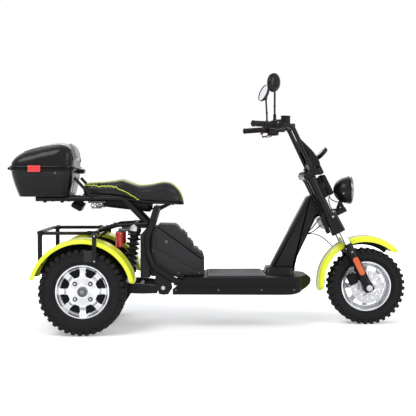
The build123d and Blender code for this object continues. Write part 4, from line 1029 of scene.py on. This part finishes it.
# ---------------------------------------------------------------- battery case, deck and beam
def battery_box():
    """The dark grey battery case: a slab with a raised side frame, a slanted stepped lid with ribs, and screws."""
    body = [(-296, 270), (-14, 270), (-13, 350), (-192, 482), (-252, 526), (-272, 532), (-292, 520), (-300, 440)]
    outline = even(rounded(body, [6, 5, 5, 2, 6, 14, 18, 30], 6), 150)
    case = slab(outline, -127, 127, 9.0, steps=6, **side_on)
    panel_line = even(rounded([(-272, 420), (-52, 300), (-30, 312), (-28, 344), (-196, 466), (-262, 500)],
                              [20, 8, 8, 8, 20, 12], 6), 100)
    lower_line = even(rounded([(-285, 278), (-24, 278), (-24, 296), (-50, 298), (-280, 416)], [8, 4, 4, 8, 12], 5),
                      90)
    panels = []
    for side in (-1, 1):
        low, high = sorted((side * 122.0, side * 129.5))
        panels.append(slab(panel_line, low, high, 3.0, steps=4, **side_on))
        low, high = sorted((side * 122.0, side * 128.4))
        panels.append(slab(lower_line, low, high, 2.0, steps=3, **side_on))
    mesh_object("battery_housing", together(case, *panels), "case_grey", "frame", replaces=["battery_case"],
                crease=42)
    lid_line = [(-12, 357), (-14, 372), (-36, 394), (-40, 404), (-62, 412), (-72, 424), (-74, 444), (-98, 460),
                (-104, 472),
                (-106, 490), (-134, 506), (-146, 522), (-156, 534), (-170, 541), (-252, 543), (-262, 536),
                (-252, 529), (-192, 486)]
    outline = even(rounded(lid_line, [4, 6, 8, 5, 6, 6, 8, 7, 5, 7, 6, 6, 8, 12, 6, 4, 2, 2], 4), 190)
    lid = slab(outline, -126, 126, 8.0, steps=5, **side_on)
    rim_line = even(rounded([(-14, 355), (-10, 363), (-254, 541), (-262, 534), (-252, 528)], 3, 4), 90)
    rims = []
    for side in (-1, 1):
        low, high = sorted((side * 120.0, side * 131.0))
        rims.append(slab(rim_line, low, high, 2.5, **side_on))
    ribs = [block(mm(x, 0, z), (16, 196, 7), 2.4, axes=turned_axes(lean))
            for x, z, lean in ((-25, 386, 0.9), (-54, 411, 0.4), (-73, 436, 1.4), (-90, 457, 0.5), (-106, 484, 1.4),
                               (-124, 503, 0.55))]
    mesh_object("battery_cover", together(lid, *rims, *ribs), "case_grey", "battery_lid",
                replaces=["battery_lid"], crease=42)
    spots = [(-284, 405), (-40, 286), (-150, 286), (-262, 286)]
    heads = [button((x, side * 129, z), (0, side, 0), 5.5, 3.0) for x, z in spots for side in (-1, 1)]
    mesh_object("battery_screws", together(*heads), "alloy_dark", "frame")
    lock = button((-215, -128.5, 452), (0, -1, 0), 8.5, 3.5, 28)
    mesh_object("battery_lock", lock, "alloy_dark", "frame")


def turned_axes(lean):
    """Axes of a block that leans by an angle about the Y axis."""
    return ((math.cos(lean), 0, -math.sin(lean)), (0, 1, 0), (math.sin(lean), 0, math.cos(lean)))


def deck_and_beam():
    """Ribbed foot mat, side screws and bead, the slanted steering beam with its plinth and hose clip."""
    plate = block(mm(157, 0, 276), (306, 326, 9), 3.0)
    ribs = block(np.zeros(3), (272, 4.2, 3.0), 1.2, steps=1)
    rows = np.array([(157, y, 281) for y in np.arange(-144, 145, 12.0)]) * MM
    mesh_object("foot_mat", together(plate, copies(ribs, rows)), "mat", "frame", replaces=["deck_mat"])
    heads = [button((x, side * 190.5, 205), (0, side, 0), 5.5, 3.0) for x in (-164, 59, 283, 453) for side in (-1, 1)]
    heads += [button((x, y, 270), (0, 0, 1), 5.0, 2.6) for x in (-2, 330) for y in (-150, 150)]
    mesh_object("deck_screws", together(*heads), "alloy_dark", "frame")
    beads = [swept(ring(2.2, 8), MM * np.array([(x, side * 190.0, 222.0) for x in np.linspace(-150, 470, 40)]))
             for side in (-1, 1)]
    mesh_object("deck_beads", together(*beads), "black_plastic", "frame")
    line = [(342, 286), (344, 312), (541, 686), (562, 698), (618, 587), (590, 574), (491, 366), (478, 312),
            (478, 286)]
    outline = even(rounded(line, [4, 30, 12, 8, 8, 20, 50, 30, 4], 6), 170)
    beam = slab(outline, -42, 42, 15.0, **side_on, steps=8)
    collar = [band(plan_outline(311, 471, 75, 30, 90, 8),
                   [(-60, 268), (2, 268), (1, 274), (-10, 306), (-14, 311), (-20, 312), (-60, 312)])]
    clip = block(mm(532, -45, 488), (22, 10, 20), 3.0)
    mesh_object("steering_beam", together(beam, *collar, clip), "frame_paint", "frame", replaces=["backbone"],
                crease=62)


# ---------------------------------------------------------------- small shared pieces
steering_axes = (steer_forward, left, steer_up)


def fork_block(place, size, radius, steps=3):
    """A rounded box set square to the steering axis, at a place that fork() understands."""
    return block(fork(*place), size, radius, steering_axes, steps=steps)


def hex_nut(spot, outward, across_corners, height, washer=1.35):
    """A six-sided nut on a washer, standing at a spot in metres and facing outward."""
    outward = np.asarray(outward, float) / np.linalg.norm(outward)
    across = np.cross(outward, (0.31, 0.2, 0.93))
    across /= np.linalg.norm(across)
    r = across_corners / 2
    nut = lathed([(0, 2), (r, 2), (r, height - 1), (r - 1.2, height), (r * 0.5, height), (r * 0.46, height - 1.5),
                  (0, height - 1.5)], spot, outward, across, turns=6, closed=False)
    plate = lathed([(0, -1), (r * washer, -1), (r * washer, 1.6), (r * washer - 0.8, 2.4), (0, 2.4)], spot, outward,
                   across,
                   turns=24, closed=False)
    return together(nut, plate)


def cable(name, route, radius):
    """A curve piece: a NURBS line of order three with the route's points, in millimetres, as its control points."""
    data = bpy.data.curves.new(name, "CURVE")
    data.dimensions = "3D"
    data.bevel_depth = radius * MM
    data.bevel_resolution = 3
    data.use_fill_caps = True
    line = data.splines.new("NURBS")
    line.points.add(len(route) - 1)
    for point, place in zip(line.points, route):
        point.co = (*(MM * np.array(place, float)), 1.0)
    line.order_u = 3
    line.use_endpoint_u = True
    line.resolution_u = 14
    data.materials.append(finishes["rubber"])
    piece = linked(name, data)
    return piece


# ---------------------------------------------------------------- fork and brake
def fork_and_brake():
    """Lower legs with collars and lugs, stadium reflectors, axle nuts, slotted rotor, caliper, yoke bolts
    and cover."""
    profile = [(0, -26), (13, -25), (20, -20), (24, -12), (25, -2), (25, 34), (23.5, 38), (23.5, 44), (25, 48),
               (24.5, 215),
               (22.5, 232), (22.5, 248), (21.5, 252), (20.5, 259), (19, 261), (0, 261)]
    parts = []
    for side in (-1, 1):
        parts.append(lathed(profile, fork(30, side * fork_half, 0), steer_up, steer_forward, turns=56, closed=False))
        parts.append(fork_block((30, side * 88, 0), (54, 40, 48), 10, steps=5))
        parts.append(fork_block((10, side * 92, 235), (30, 18, 26), 6))
        parts.append(rod(mm(778, side * 56, 425), mm(758, side * 92, 392), 7.5, 1))
    mesh_object("fork_lowers", together(*parts), "frame_paint", "steering", replaces=["fork_legs"], crease=38)
    bolts, nuts = [], []
    for side in (-1, 1):
        bolts.append(hex_nut(mm(865, side * 109, 203), (0, side, 0), 24, 15))
        for forward, out, up, radius, height in ((12, 101, 241, 5, 3.5), (30, 117, 214, 4.5, 3),
                                                 (20, 116, 428, 6.5, 4)):
            bolts.append(button(fork(forward, side * out, up) / MM, (0, side, 0), radius, height))
        bolts.append(button(fork(-26, side * fork_half, 680) / MM, -steer_forward, 4.5, 4))
        nuts.append(hex_nut(fork(-8, side * 84, 695), steer_up, 22, 9))
    nuts.append(hex_nut(fork(0, 0, 695), steer_up, 30, 10))
    mesh_object("yoke_nuts", together(*nuts), "frame_paint", "steering", crease=30)
    mesh_object("fork_bolts", together(*bolts), "steel", "steering", crease=30)
    stadium = even(rounded([(14.5, 78), (45.5, 78), (45.5, 182), (14.5, 182)], 15.4, 10), 80)
    lens_seat = even(rounded([(12.5, 76), (47.5, 76), (47.5, 184), (12.5, 184)], 17.0, 10), 80)
    lenses, seats = [], []
    for side in (-1, 1):
        flat = dict(origin=steer_foot, across=steer_forward, up=steer_up, normal=side * left)
        lenses.append(slab(stadium, 112.0, 120.0, 3.0, **flat))
        seats.append(slab(lens_seat, 108.0, 117.0, 2.0, **flat))
    mesh_object("fork_lenses", together(*lenses), "orange_lens", "steering", replaces=["fork_reflectors"])
    mesh_object("fork_lens_seats", together(*seats), "black_plastic", "steering")

    slot_window = rounded([(60, -3.5), (82, -9), (82, -1), (60, 5)], 3, 4)
    arm_window = rounded([(38, -13), (52, -21), (52, 21), (38, 13)], 5, 5)
    plane = {}
    for outward, front in ((-1, 59.0), (1, -55.0)):
        flat = lambda r, front=front: front + 0 * r
        plane[outward] = [windowed_face(front_axle, outward, 14, slot_window, 56, 88, flat, 2.0, 0.5),
                          windowed_face(front_axle, outward, 5, arm_window, 32, 56, flat, 2.0, 0.5)]
    rims = [lathed([(87.9, 59), (88.6, 58.6), (88.6, 55.4), (87.9, 55)], *along_axle(front_axle, -1), turns=96,
                   closed=True),
            lathed([(28, 60), (34, 60), (34, 54), (28, 54)], *along_axle(front_axle, -1), turns=48)]
    heads = [button((865 + 43 * math.cos(a), -59.5, 203 + 43 * math.sin(a)), (0, -1, 0), 5, 3)
             for a in np.arange(5) * 2 * np.pi / 5]
    mesh_object("rotor_disc", together(*plane[-1], *plane[1], *rims, *heads), "steel", "front_wheel",
                replaces=["brake_rotor"], crease=30)
    face = [fork_block((-30, -86, 76), (40, 10, 50), 4), fork_block((-26, -50, 75), (40, 6, 46), 2.5)]
    face.append(rod(fork(-36, -86, 88), fork(-36, -94, 88), 11, 2))
    face.append(rod(fork(-22, -86, 64), fork(-22, -94, 64), 11, 2))
    mesh_object("caliper_face", together(*face), "black_plastic", "steering")

    cover = [fork_block((74, 0, 588), (34, 96, 116), 11, steps=5), fork_block((49, 0, 600), (20, 180, 34), 5)]
    cover += [fork_block((43, 0, 586), (34, 90, 112), 8), fork_block((72, 0, 680), (28, 150, 52), 8)]
    cover += [fork_block((36, side * 84, 600), (30, 16, 34), 4) for side in (-1, 1)]
    cover += [fork_block((90.5, 0, 560 + 14 * k), (4, 74, 6), 1.8) for k in range(4)]
    mesh_object("fork_cover", together(*cover), "black_plastic", "steering", replaces=["front_cover"], crease=40)
    collars = []
    for side in (-1, 1):
        for low, radius in ((440, 25.5), (650, 25.0)):
            profile = [(22, low), (radius - 1, low), (radius, low + 1), (radius, low + 12), (radius - 1, low + 14),
                       (22, low + 14)]
            collars.append(lathed(profile, fork(8, side * fork_half, 0), steer_up, steer_forward, turns=48))
    mesh_object("tube_collars", together(*collars), "frame_paint", "steering")
    trim = lathed([(251, -15), (254.5, -14), (255.5, -8), (255.5, 8), (254.5, 14), (251, 15)],
                  mm(855.0, 0, 223), left, z_axis, turns=80, start=-96.0, sweep=136.0)
    mesh_object("fender_strip", trim, "silver_trim", "steering")


# ---------------------------------------------------------------- headlight
def headlight():
    """A bullet shell, chrome rim, mirror bowl, bulb and ribbed glass, all turned about the lamp's axis."""
    spin = (mm(*lamp_back), x_axis, z_axis)
    shape = curve_through([(0, 0, 0), (14, 1, 0), (34, 9, 0), (53, 25, 0), (66, 46, 0), (71.5, 68, 0), (73.5, 88, 0)],
                          40)[:, :2] / MM
    inner = [(r - 3.0 if r > 3 else 0, h + 3.0) for r, h in shape[::-1]]
    shell_profile = [*map(tuple, shape), *[(max(r, 0), min(h, 88.0)) for r, h in inner]]
    ridge = [(72.6, 76), (75, 77), (75, 81), (72.9, 82)]
    mesh_object("lamp_shell", together(lathed(shell_profile, *spin, turns=96, closed=False),
                                       lathed(ridge, *spin, turns=96)),
                "gloss_black", "steering", replaces=["headlight_shell"], crease=40)
    rim_profile = [(69, 84), (74, 83.5), (76.5, 86), (77.2, 90), (76, 94.5), (73, 97), (70, 97.5), (68, 95), (68, 88)]
    mesh_object("lamp_rim", lathed(rim_profile, *spin, turns=96), "dark_chrome", "steering", crease=60)
    bowl = [(68.5, 90), (60, 66), (48, 48), (32, 36), (16, 30), (10, 29), (10, 27), (33, 33.5), (50, 46), (62, 64),
            (70, 88)]
    mesh_object("lamp_bowl", lathed(bowl, *spin, turns=96), "chrome", "steering", crease=60)
    bulb = curve_through([(0, 74, 0), (7, 72, 0), (11, 64, 0), (9, 54, 0), (7, 44, 0), (7, 28, 0), (0, 28, 0)],
                         26)[:, :2] / MM
    mesh_object("lamp_bulb", lathed(np.abs(bulb), *spin, turns=32, closed=False), "bulb", "steering")
    front = np.linspace(0, 1, 30)
    outer = np.c_[69.0 * front, 102 - 9.5 * front**2]
    back = np.c_[69.0 * front[::-1], 99 - 9.5 * front[::-1] ** 2 + 0.8 * np.cos(front[::-1] * 60)]
    glass = np.concatenate([outer, back])
    mesh_object("lamp_glass", lathed(glass, *spin, turns=96, closed=False), "clear", "steering",
                replaces=["headlight_lens"], crease=60)
    stalk = [rod(mm(728, 0, 662), mm(713, 0, 620), 9, 2), block(mm(714, 0, 619), (72, 44, 10), 4, turned_axes(-0.12)),
             block(mm(744, 0, 618), (16, 30, 18), 5)]
    mesh_object("lamp_stalk", together(*stalk), "black_plastic", "steering", crease=45)
    heads = [button((735, side * 61, 706), (-0.35, side, -0.25), 5, 4) for side in (-1, 1)]
    heads += [button((709, side * 41, 715), (-0.7, side, -0.2), 4, 3) for side in (-1, 1)]
    mesh_object("lamp_bolts", together(*heads), "steel", "steering")


# ---------------------------------------------------------------- handlebar and controls
def bar_controls():
    """Ribbed grips, switch pods, fluid pots, curved levers, mirrors, clock, hood plates and the bar's clamps."""
    grips, pods, levers, small, red = [], [], [], [], []
    for side in (-1, 1):
        start, end = (mm(x, side * y, z) for x, y, z in (grip_in, grip_out))
        run = (end - start) / np.linalg.norm(end - start)
        up = z_axis - run * run[2]
        up /= np.linalg.norm(up)
        ahead = np.cross(up, run) * side
        axes = (ahead, up, run)

        def spot(inward, forward, high, start=start, axes=axes):
            """A point in metres: inward along the bar from the grip's inner end, forward and up, in millimetres."""
            return start + MM * (forward * axes[0] + high * axes[1] - inward * axes[2])

        height = np.arange(8, 137, 0.8)
        ribs = np.c_[14.4 + 0.7 * np.sign(np.sin(height * 2 * np.pi / 6.4)) * (height > 16) * (height < 128), height]
        grip = [(11.8, 4), (17, 4.0), (18, 5.5), (17.5, 7.5), *map(tuple, ribs), (15.6, 138), (16.6, 140),
                (16.4, 143),
                (13, 145), (0, 145.5), (0, 137), (11.8, 136)]
        grips.append(lathed(grip, start, run, up, turns=36))
        for place, size, radius, steps in (
                ((20, 0, 0), (46, 42, 36), 11, 5), ((20, 20, -8), (26, 26, 28), 7, 4),
                                           ((46, -2, -4), (40, 46, 18), 8, 4),
                ((78, 2, -3), (42, 38, 38), 10, 5), ((64, 6, -26), (34, 24, 62), 8, 4),
                ((116, 10, 25), (34, 42, 44), 7, 4), ((116, 10, 47), (36, 5, 46), 2.2, 3)):
            pods.append(block(spot(*place), size, radius, axes, steps=steps))
        pods.append(rod(spot(118, 18, 2), spot(118, 44, -4), 8, 1.5))
        pods.append(rod(spot(124, 0, -4), spot(150, 10, -4), 7, 1.5))
        small.append(button(spot(20, -22, 9) / MM, -ahead + 0.5 * up, 5, 4))
        small.append(button(spot(12, -12, 20) / MM, up, 4, 3))
        small.append(block(spot(66, -14, -12), (4, 3, 52), 1.2, axes))
        small += [button(spot(116 + k, 10, 49.5) / MM, up, 3, 2) for k in (-17, 17)]
        if side > 0:
            red.append(block(spot(-24, -6, -20), (10, 12, 16), 3, axes))
        blade = curve_through([(358, side * 210, 1052), (382, side * 215, 1047), (395, side * 228, 1044),
                               (387, side * 250, 1041),
                               (365, side * 280, 1036), (344, side * 306, 1031), (334, side * 318, 1029)], 46)
        share = np.linspace(0, 1, 46)
        angle = turn_angles(18)
        section = np.stack([7.0 * np.cos(angle), 4.6 * np.sin(angle)], 1) * MM
        swell = 1.05 - 0.35 * np.sin(share * np.pi * 0.8) + 0.35 * np.exp(-((share - 0.97) / 0.04) ** 2)
        levers.append(swept(section, blade, upright=(0, 0, 1.0), scale=swell))
        levers.append(rod(mm(382, side * 215, 1038), mm(382, side * 215, 1056), 6.5, 1))
        guard = curve_through([(392, side * 190, 1046), (374, side * 202, 1028), (344, side * 216, 1022),
                               (322, side * 224, 1030),
                               (328, side * 218, 1048)], 40)
        levers.append(swept(ring(2.4, 10), guard, upright=(0, 0.1, 1.0)))
    mesh_object("grip_rubbers", together(*grips), "rubber", "steering", replaces=["grips"], crease=35)
    mesh_object("switch_pods", together(*pods), "black_plastic", "steering", replaces=["levers"], crease=45)
    mesh_object("brake_levers", together(*levers), "frame_paint", "steering", crease=60)
    mesh_object("pod_buttons", together(*small), "silver_trim", "steering")
    mesh_object("pod_switches", together(*red), "red_paint", "steering")

    heads, glasses, collars = [], [], []
    for side in (-1, 1):
        middle = MM * np.array([341.0, -245, 1275] if side < 0 else [336.0, 238, 1272])
        face = np.array([-0.66, 0.74, 0.0] if side < 0 else [-0.84, -0.40, 0.36])
        face /= np.linalg.norm(face)
        wide = np.array([0.704, 0.628, -0.309] if side < 0 else [0.40, -0.84, 0.0])
        wide /= np.linalg.norm(wide)
        tall = np.cross(face, wide) * side
        angle = turn_angles(72)

        def oval(rows, middle=middle, face=face, wide=wide, tall=tall, angle=angle):
            """Rings of a 43 by 50 ellipse: each row gives the share of its size and its height over the middle."""
            return shell(np.array([[middle + MM * (43 * r * math.cos(a) * wide + 50 * r * math.sin(a) * tall + h
                                                   * face)
                                    for a in angle] for r, h in rows]))

        heads.append(oval([(0, -15), (0.3, -14.6), (0.55, -13.2), (0.76, -10.5), (0.9, -6.5), (0.98, -1), (1.0, 5),
                           (1.0, 9),
                           (0.985, 11), (0.955, 11), (0.94, 9.5), (0.94, 6), (0.5, 6), (0, 6)]))
        glasses.append(oval([(0, 8.6), (0.5, 8.5), (0.93, 8.0), (0.93, 5.5), (0, 5.5)]))
        for low, high, radius in ((1084, 1092, 9.5), (1092, 1116, 8), (1156, 1162, 6.5)):
            ends = [mm(348 - (z - 1066) / 84, side * (205 + 3 * (z - 1066) / 84), z) for z in (low, high)]
            collars.append(rod(*ends, radius, 1.2))
        neck = [mm(344.0, side * 238, 1236), mm(345.0, side * 241, 1250),
                middle - face * 0.016 - np.array([0, 0, 0.012])]
        collars.append(rod(neck[0], neck[1], 8, 1.5))
        collars.append(rod(neck[1], neck[2], 8, 1.5))
    mesh_object("mirror_heads", together(*heads), "gloss_black", "steering", replaces=["mirrors"],
                crease=50)
    mesh_object("mirror_faces", together(*glasses), "mirror_glass", "steering", crease=50)
    mesh_object("stem_collars", together(*collars), "black_plastic", "steering")

    hood_line = even(rounded([(30, 698), (84, 704), (88, 740), (77, 792), (48, 874), (30, 874), (46, 784), (26, 730)],
                             [6, 10, 24, 60, 8, 8, 60, 10], 7), 110)
    front_line = even(rounded([(58, 704), (84, 704), (88, 740), (76, 794), (70, 806), (58, 806)],
                              [3, 10, 24, 10, 8, 3], 6), 80)
    hood = []
    flat = dict(origin=steer_foot, across=steer_forward, up=steer_up)
    for side in (-1, 1):
        hood.append(slab(hood_line, 82, 98, 6.0, normal=side * left, steps=5, **flat))
    hood.append(slab(front_line, -90, 90, 4.0, normal=left, steps=4, **flat))
    hood.append(fork_block((56, 0, 716), (58, 122, 34), 8))
    hood += [fork_block((86.5, 0, 722 + 10 * k), (3.5, 96, 4), 1.4) for k in range(3)]
    mesh_object("gauge_hood", together(*hood), "black_plastic", "steering", replaces=["nacelle"], crease=45)
    clamps = [fork_block((34, side * 92, 704), (38, 40, 22), 6) for side in (-1, 1)]
    clamps += [block(mm(452, side * 68, 1064), (40, 22, 30), 7) for side in (-1, 1)]
    clamps.append(rod(mm(452, -92, 1064), mm(452, 92, 1064), 10, 1))
    mesh_object("bar_clamps", together(*clamps), "frame_paint", "steering", crease=40)

    axis = np.array([-0.73, 0, 0.68]) / math.hypot(0.73, 0.68)
    spin = (mm(*clock_centre), axis, left)
    case = [(0, -13), (26, -13), (34, -11), (37, -6), (38, 1), (38.2, 7), (37, 9.5), (35.5, 10), (34, 9.6), (33, 8),
            (0, 8)]
    arm = [fork_block((92, 0, 742), (28, 22, 15), 4)]
    mesh_object("clock_case", together(lathed(case, *spin, turns=72, closed=False), *arm), "black_plastic",
                "steering", replaces=["display"], crease=40)
    face = [(0, 9.4), (32.6, 9.1), (32.8, 8.3), (0, 8.3)]
    mesh_object("clock_face", lathed(face, *spin, turns=72, closed=False), "screen", "steering")
    mark = block(np.zeros(3), (1.2, 5.0, 0.8), 0.3, steps=1)
    places, turns = [], []
    third = np.cross(axis, spin[2])
    for a in np.radians(np.arange(-120, 121, 20)):
        out = math.cos(a) * third + math.sin(a) * spin[2]
        places.append(spin[0] + MM * (26 * out + 9.5 * axis))
        turns.append(np.stack([np.cross(out, axis), out, axis], axis=0))
    mesh_object("clock_marks", copies(mark, places, turns), "silver_trim", "steering")
    key = lathed([(0, -4), (8, -4), (8, 5), (7, 6.5), (4, 6.5), (3.4, 5.5), (0, 5.5)], fork(-14, 0, 697), steer_up,
                 left, turns=36,
                 closed=False)
    mesh_object("key_switch", key, "alloy_dark", "steering")


# ---------------------------------------------------------------- cables
def cables():
    """The hoses from the beam's clip to the fork, and the lamp's two leads."""
    hoses = [[(544, -46, 487), (574, -47, 491), (612, -46, 478), (648, -42, 452), (678, -38, 421)],
             [(543, -48, 492), (562, -50, 494), (588, -52, 512), (613, -54, 536.5)],
             [(541, -47, 496), (560, -49, 510), (583, -52, 541), (608, -54, 571.5)]]
    graph = bpy.context.evaluated_depsgraph_get
    for number, route in enumerate(hoses):
        line = cable("hose_line_%d" % number, route, 3.0)
        bpy.context.view_layer.update()
        data = bpy.data.meshes.new_from_object(line.evaluated_get(graph()))
        hose = linked("brake_hose_%d" % (number + 1), data)
        bpy.data.objects.remove(line)
        hose.data.shade_smooth()
        if number == 0:
            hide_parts("brake_hoses")
        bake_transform(hose)
    leads = [[(664, -22, 693), (660, -22, 668), (668, -23, 636), (684, -22, 612)],
             [(665, -10, 694), (671, -8, 679), (690, -6, 664), (715.5, -5, 657.5)]]
    for number, route in enumerate(leads):
        lead = cable("lamp_lead_%d" % (number + 1), route, 2.5)
        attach(lead, "steering")
        if number == 0:
            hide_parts("lamp_leads")


# ---------------------------------------------------------------- rear suspension, motor and lamp
def rear_end():
    """Coil springs, red reservoirs, finned motor, pivot bolts, tail lamp, slotted hanger, bucket, rear cover,
    stay plate, rack clamps and rack posts."""
    top, foot = (mm(x, 0, z) for x, z in (shock_top, shock_foot))
    length = np.linalg.norm(top - foot) / MM
    along = (top - foot) / np.linalg.norm(top - foot)
    across = np.cross(left, along)
    coils, perches, bottles, caps = [], [], [], []
    turn = np.linspace(0, 9.2 * 2 * np.pi, 9 * 26)
    pitch = np.interp(turn, [0, 5.5, turn[-1] - 5.5, turn[-1]], [41, 49, length - 49, length - 41])
    for side in (-1, 1):
        shift = side * shock_half_track * left
        helix = foot + shift + MM * (25 * np.cos(turn)[:, None] * across + 25 * np.sin(turn)[:, None] * left
                                     + pitch[:, None] * along)
        coils.append(swept(ring(5.2, 10), helix, upright=along))
        for low, high in ((26, 40), (length - 40, length - 26)):
            profile = [(12, low), (28, low), (29.5, low + 1.5), (29.5, high - 1.5), (28, high), (12, high)]
            perches.append(lathed(profile, foot + shift, along, across, turns=48))
        perches.append(lathed([(0, 40), (14, 40), (14, length - 40), (0, length - 40)], foot + shift, along, across,
                              turns=32, closed=False))
        base = mm(-462.0, side * 124, 0)
        body = [(0, 424), (15, 424), (18, 427), (19, 431), (19, 452), (17.8, 453), (17.8, 457), (19, 458), (19, 474),
                (17.8, 475),
                (17.8, 479), (19, 480), (19, 500), (17, 504), (0, 504)]
        bottles.append(lathed(body, base, z_axis, x_axis, turns=44, closed=False))
        cap = [(0, 503), (16, 503), (16, 507), (13, 509), (0, 509)]
        caps.append(lathed(cap, base, z_axis, x_axis, turns=44, closed=False))
        caps.append(block(mm(-438, side * 114, 515), (58, 20, 16), 5))
    mesh_object("coil_springs", together(*coils), "gloss_black", "frame", replaces=["shock_springs"],
                crease=180)
    mesh_object("spring_perches", together(*perches), "black_plastic", "frame")
    mesh_object("shock_bottles", together(*bottles), "red_paint", "frame", replaces=["shock_reservoirs"])
    mesh_object("bottle_caps", together(*caps), "alloy_dark", "frame")

    fins = [(82, -73)]
    for k in range(12):
        y = -66 + 12 * k
        fins += [(82.5, y - 3.5), (88, y - 3), (88, y + 0.5), (82.5, y + 1)]
    fins += [(82, 73), (70, 74), (70, -74)]
    motor = lathed(fins, *along_axle(rear_axle, 1), turns=96)
    covers = [lathed([(30, 74), (72, 74), (78, 76), (79, 79), (76, 82), (60, 84), (50, 88), (36, 90), (30, 90)],
                     *along_axle(rear_axle, side), turns=72)
              for side in (-1, 1)]
    bolts = [button((rear_axle / MM + (68 * math.cos(a), side * 82.6, 68 * math.sin(a))), (0, side, 0), 4.5, 3)
             for side in (-1, 1) for a in np.arange(8) * np.pi / 4]
    mesh_object("motor_casing", together(motor, *covers, *bolts), "alloy_dark", "frame", crease=30)
    nuts = []
    for side in (-1, 1):
        for x, y, z, width, height in ((-230, 172.5, 215, 16, 9), (shock_foot[0], 133.5, shock_foot[1], 16, 9),
                                       (shock_top[0], 133.5, shock_top[1], 20, 12)):
            nuts.append(hex_nut(mm(x, side * y, z), (0, side, 0), width, height))
        nuts += [button((x, side * 152.5, 212), (0, side, 0), 5, 3) for x in (-600, -656)]
        nuts += [button((-562, side * 401.2, z), (0, side, 0), 4.5, 3) for z in (376, 500)]
    mesh_object("frame_bolts", together(*nuts), "steel", "frame", crease=30)

    lean = turned_axes(0.52)
    lamp = mm(-694.0, 0, 636)
    body = block(lamp, (58, 96, 32), 9, lean, steps=5)
    hood = block(lamp + mm(16, 0, 18), (50, 60, 20), 6, lean)
    fork_arm = [rod(lamp + mm(-2, side * 22, 10), mm(-660, side * 22, 672), 5, 1) for side in (-1, 1)]
    mesh_object("tail_lamp_body", together(body, hood, *fork_arm), "black_plastic", "frame", replaces=["tail_lamp"],
                crease=40)
    lens = block(lamp - MM * 27 * np.array(lean[0]), (8, 86, 25), 3, lean)
    mesh_object("tail_lamp_lens", lens, "red_lens", "frame")

    hanger = []
    for side in (-1, 1):
        for x, r in ((-602, 10.5), (-576, 11.5), (-552, 7.5)):
            hanger.append(lathed([(r - 4.5, -2), (r, -2), (r, 2), (r - 4.5, 2)], mm(x, side * 104, 645), left, x_axis,
                                 turns=32))
        hanger.append(block(mm(-580, side * 104, 662), (92, 4, 12), 1.5))
        hanger.append(block(mm(-582, side * 104, 631), (54, 4, 7), 1.5))
    mesh_object("slotted_hanger", together(*hanger), "alloy_dark", "frame")

    rows = []
    for z, x_low, x_high, half in ((650, -556, -292, 92), (640, -556, -292, 91), (612, -550, -296, 84),
                                   (602, -540, -304, 76)):
        outline = plan_outline(x_low, x_high, half, 30, 100, 8)
        rows.append(np.c_[outline, np.full(100, float(z))])
    outer = np.array(rows)
    floor = np.array([(-424, 0, 599.0)])
    outer = np.concatenate([outer, floor + 0.5 * (outer[-1:] - floor) * (1, 1, 0), np.repeat(floor[None], 100, 1)])
    slant = np.clip((650 - outer[..., 2]) / 48, 0, 1)
    outer[..., 2] = np.where(slant > 0.15, 650 - slant * (12 + 30 * np.clip((outer[..., 0] + 560) / 255, 0, 1)),
                             outer[..., 2])
    middle = np.array([-424.0, 0, 0])
    inner = middle + (outer - middle) * (0.968, 0.955, 1) + (0, 0, 3)
    inner[0, :, 2] = 650
    outline = plan_outline(-556, -296, 92, 30, 100, 8)
    levels = [np.full(100, 646.0), np.interp(outline[:, 0], [-560, -480, -440, -300], [685, 680, 669.5, 649])]
    collar = np.array([np.c_[outline, level] for level in levels])
    thin = middle + (collar - middle) * (0.972, 0.955, 1)
    mesh_object("bucket_collar", hollow_ring(collar, thin), "black_plastic", "frame", crease=40)
    brackets = [block(mm(-556, 0, 656), (7, 80, 36), 2), block(mm(-284, 0, 624), (26, 80, 7), 2)]
    mesh_object("storage_bucket", together(hollow(outer, inner), *brackets), "black_plastic", "frame",
                replaces=["seat_bucket"], crease=40)
    wall_line = even(rounded([(-352, 262), (-299, 262), (-299, 522), (-322, 522), (-352, 488)], [8, 3, 3, 12, 12], 5),
                     90)
    grooves = [block(mm(-325, side * 119, z), (40, 6, 4), 1.5) for z in (330, 350, 370, 390) for side in (-1, 1)]
    mesh_object("rear_cover", together(slab(wall_line, -119, 119, 7.0, steps=5, **side_on), *grooves), "case_grey",
                "frame", crease=42)
    stay_line = even(rounded([(-575, 476), (-566, 470), (-497, 538), (-503, 548)], 3, 4), 50)
    stays = [slab(stay_line, *sorted((side * 92.0, side * 98.0)), 1.5, **side_on) for side in (-1, 1)]
    stays.append(block(mm(-536, 0, 509), (96, 188, 4), 1.5, turned_axes(-0.785)))
    mesh_object("stay_plate", together(*stays), "case_grey", "frame", crease=42)
    clamps = [block(mm(x, side * rack_half, rack_top), (26, 24, 24), 6) for x in (-844, -600) for side in (-1, 1)]
    clamps += [block(mm(-562, side * 300, rack_top), (28, 20, 22), 5) for side in (-1, 1)]
    mesh_object("rack_clamps", together(*clamps), "black_plastic", "frame")
    posts = [rod(mm(rack_rear, side * rack_half, 346), mm(rack_rear, side * rack_half, rack_top), 9, 1, 20)
             for side in (-1, 1)]
    mesh_object("rack_posts", together(*posts), "frame_paint", "frame")


studio()
stand_camera()
wheels()
fenders()
top_case()
saddle()
battery_box()
deck_and_beam()
fork_and_brake()
headlight()
bar_controls()
cables()
rear_end()
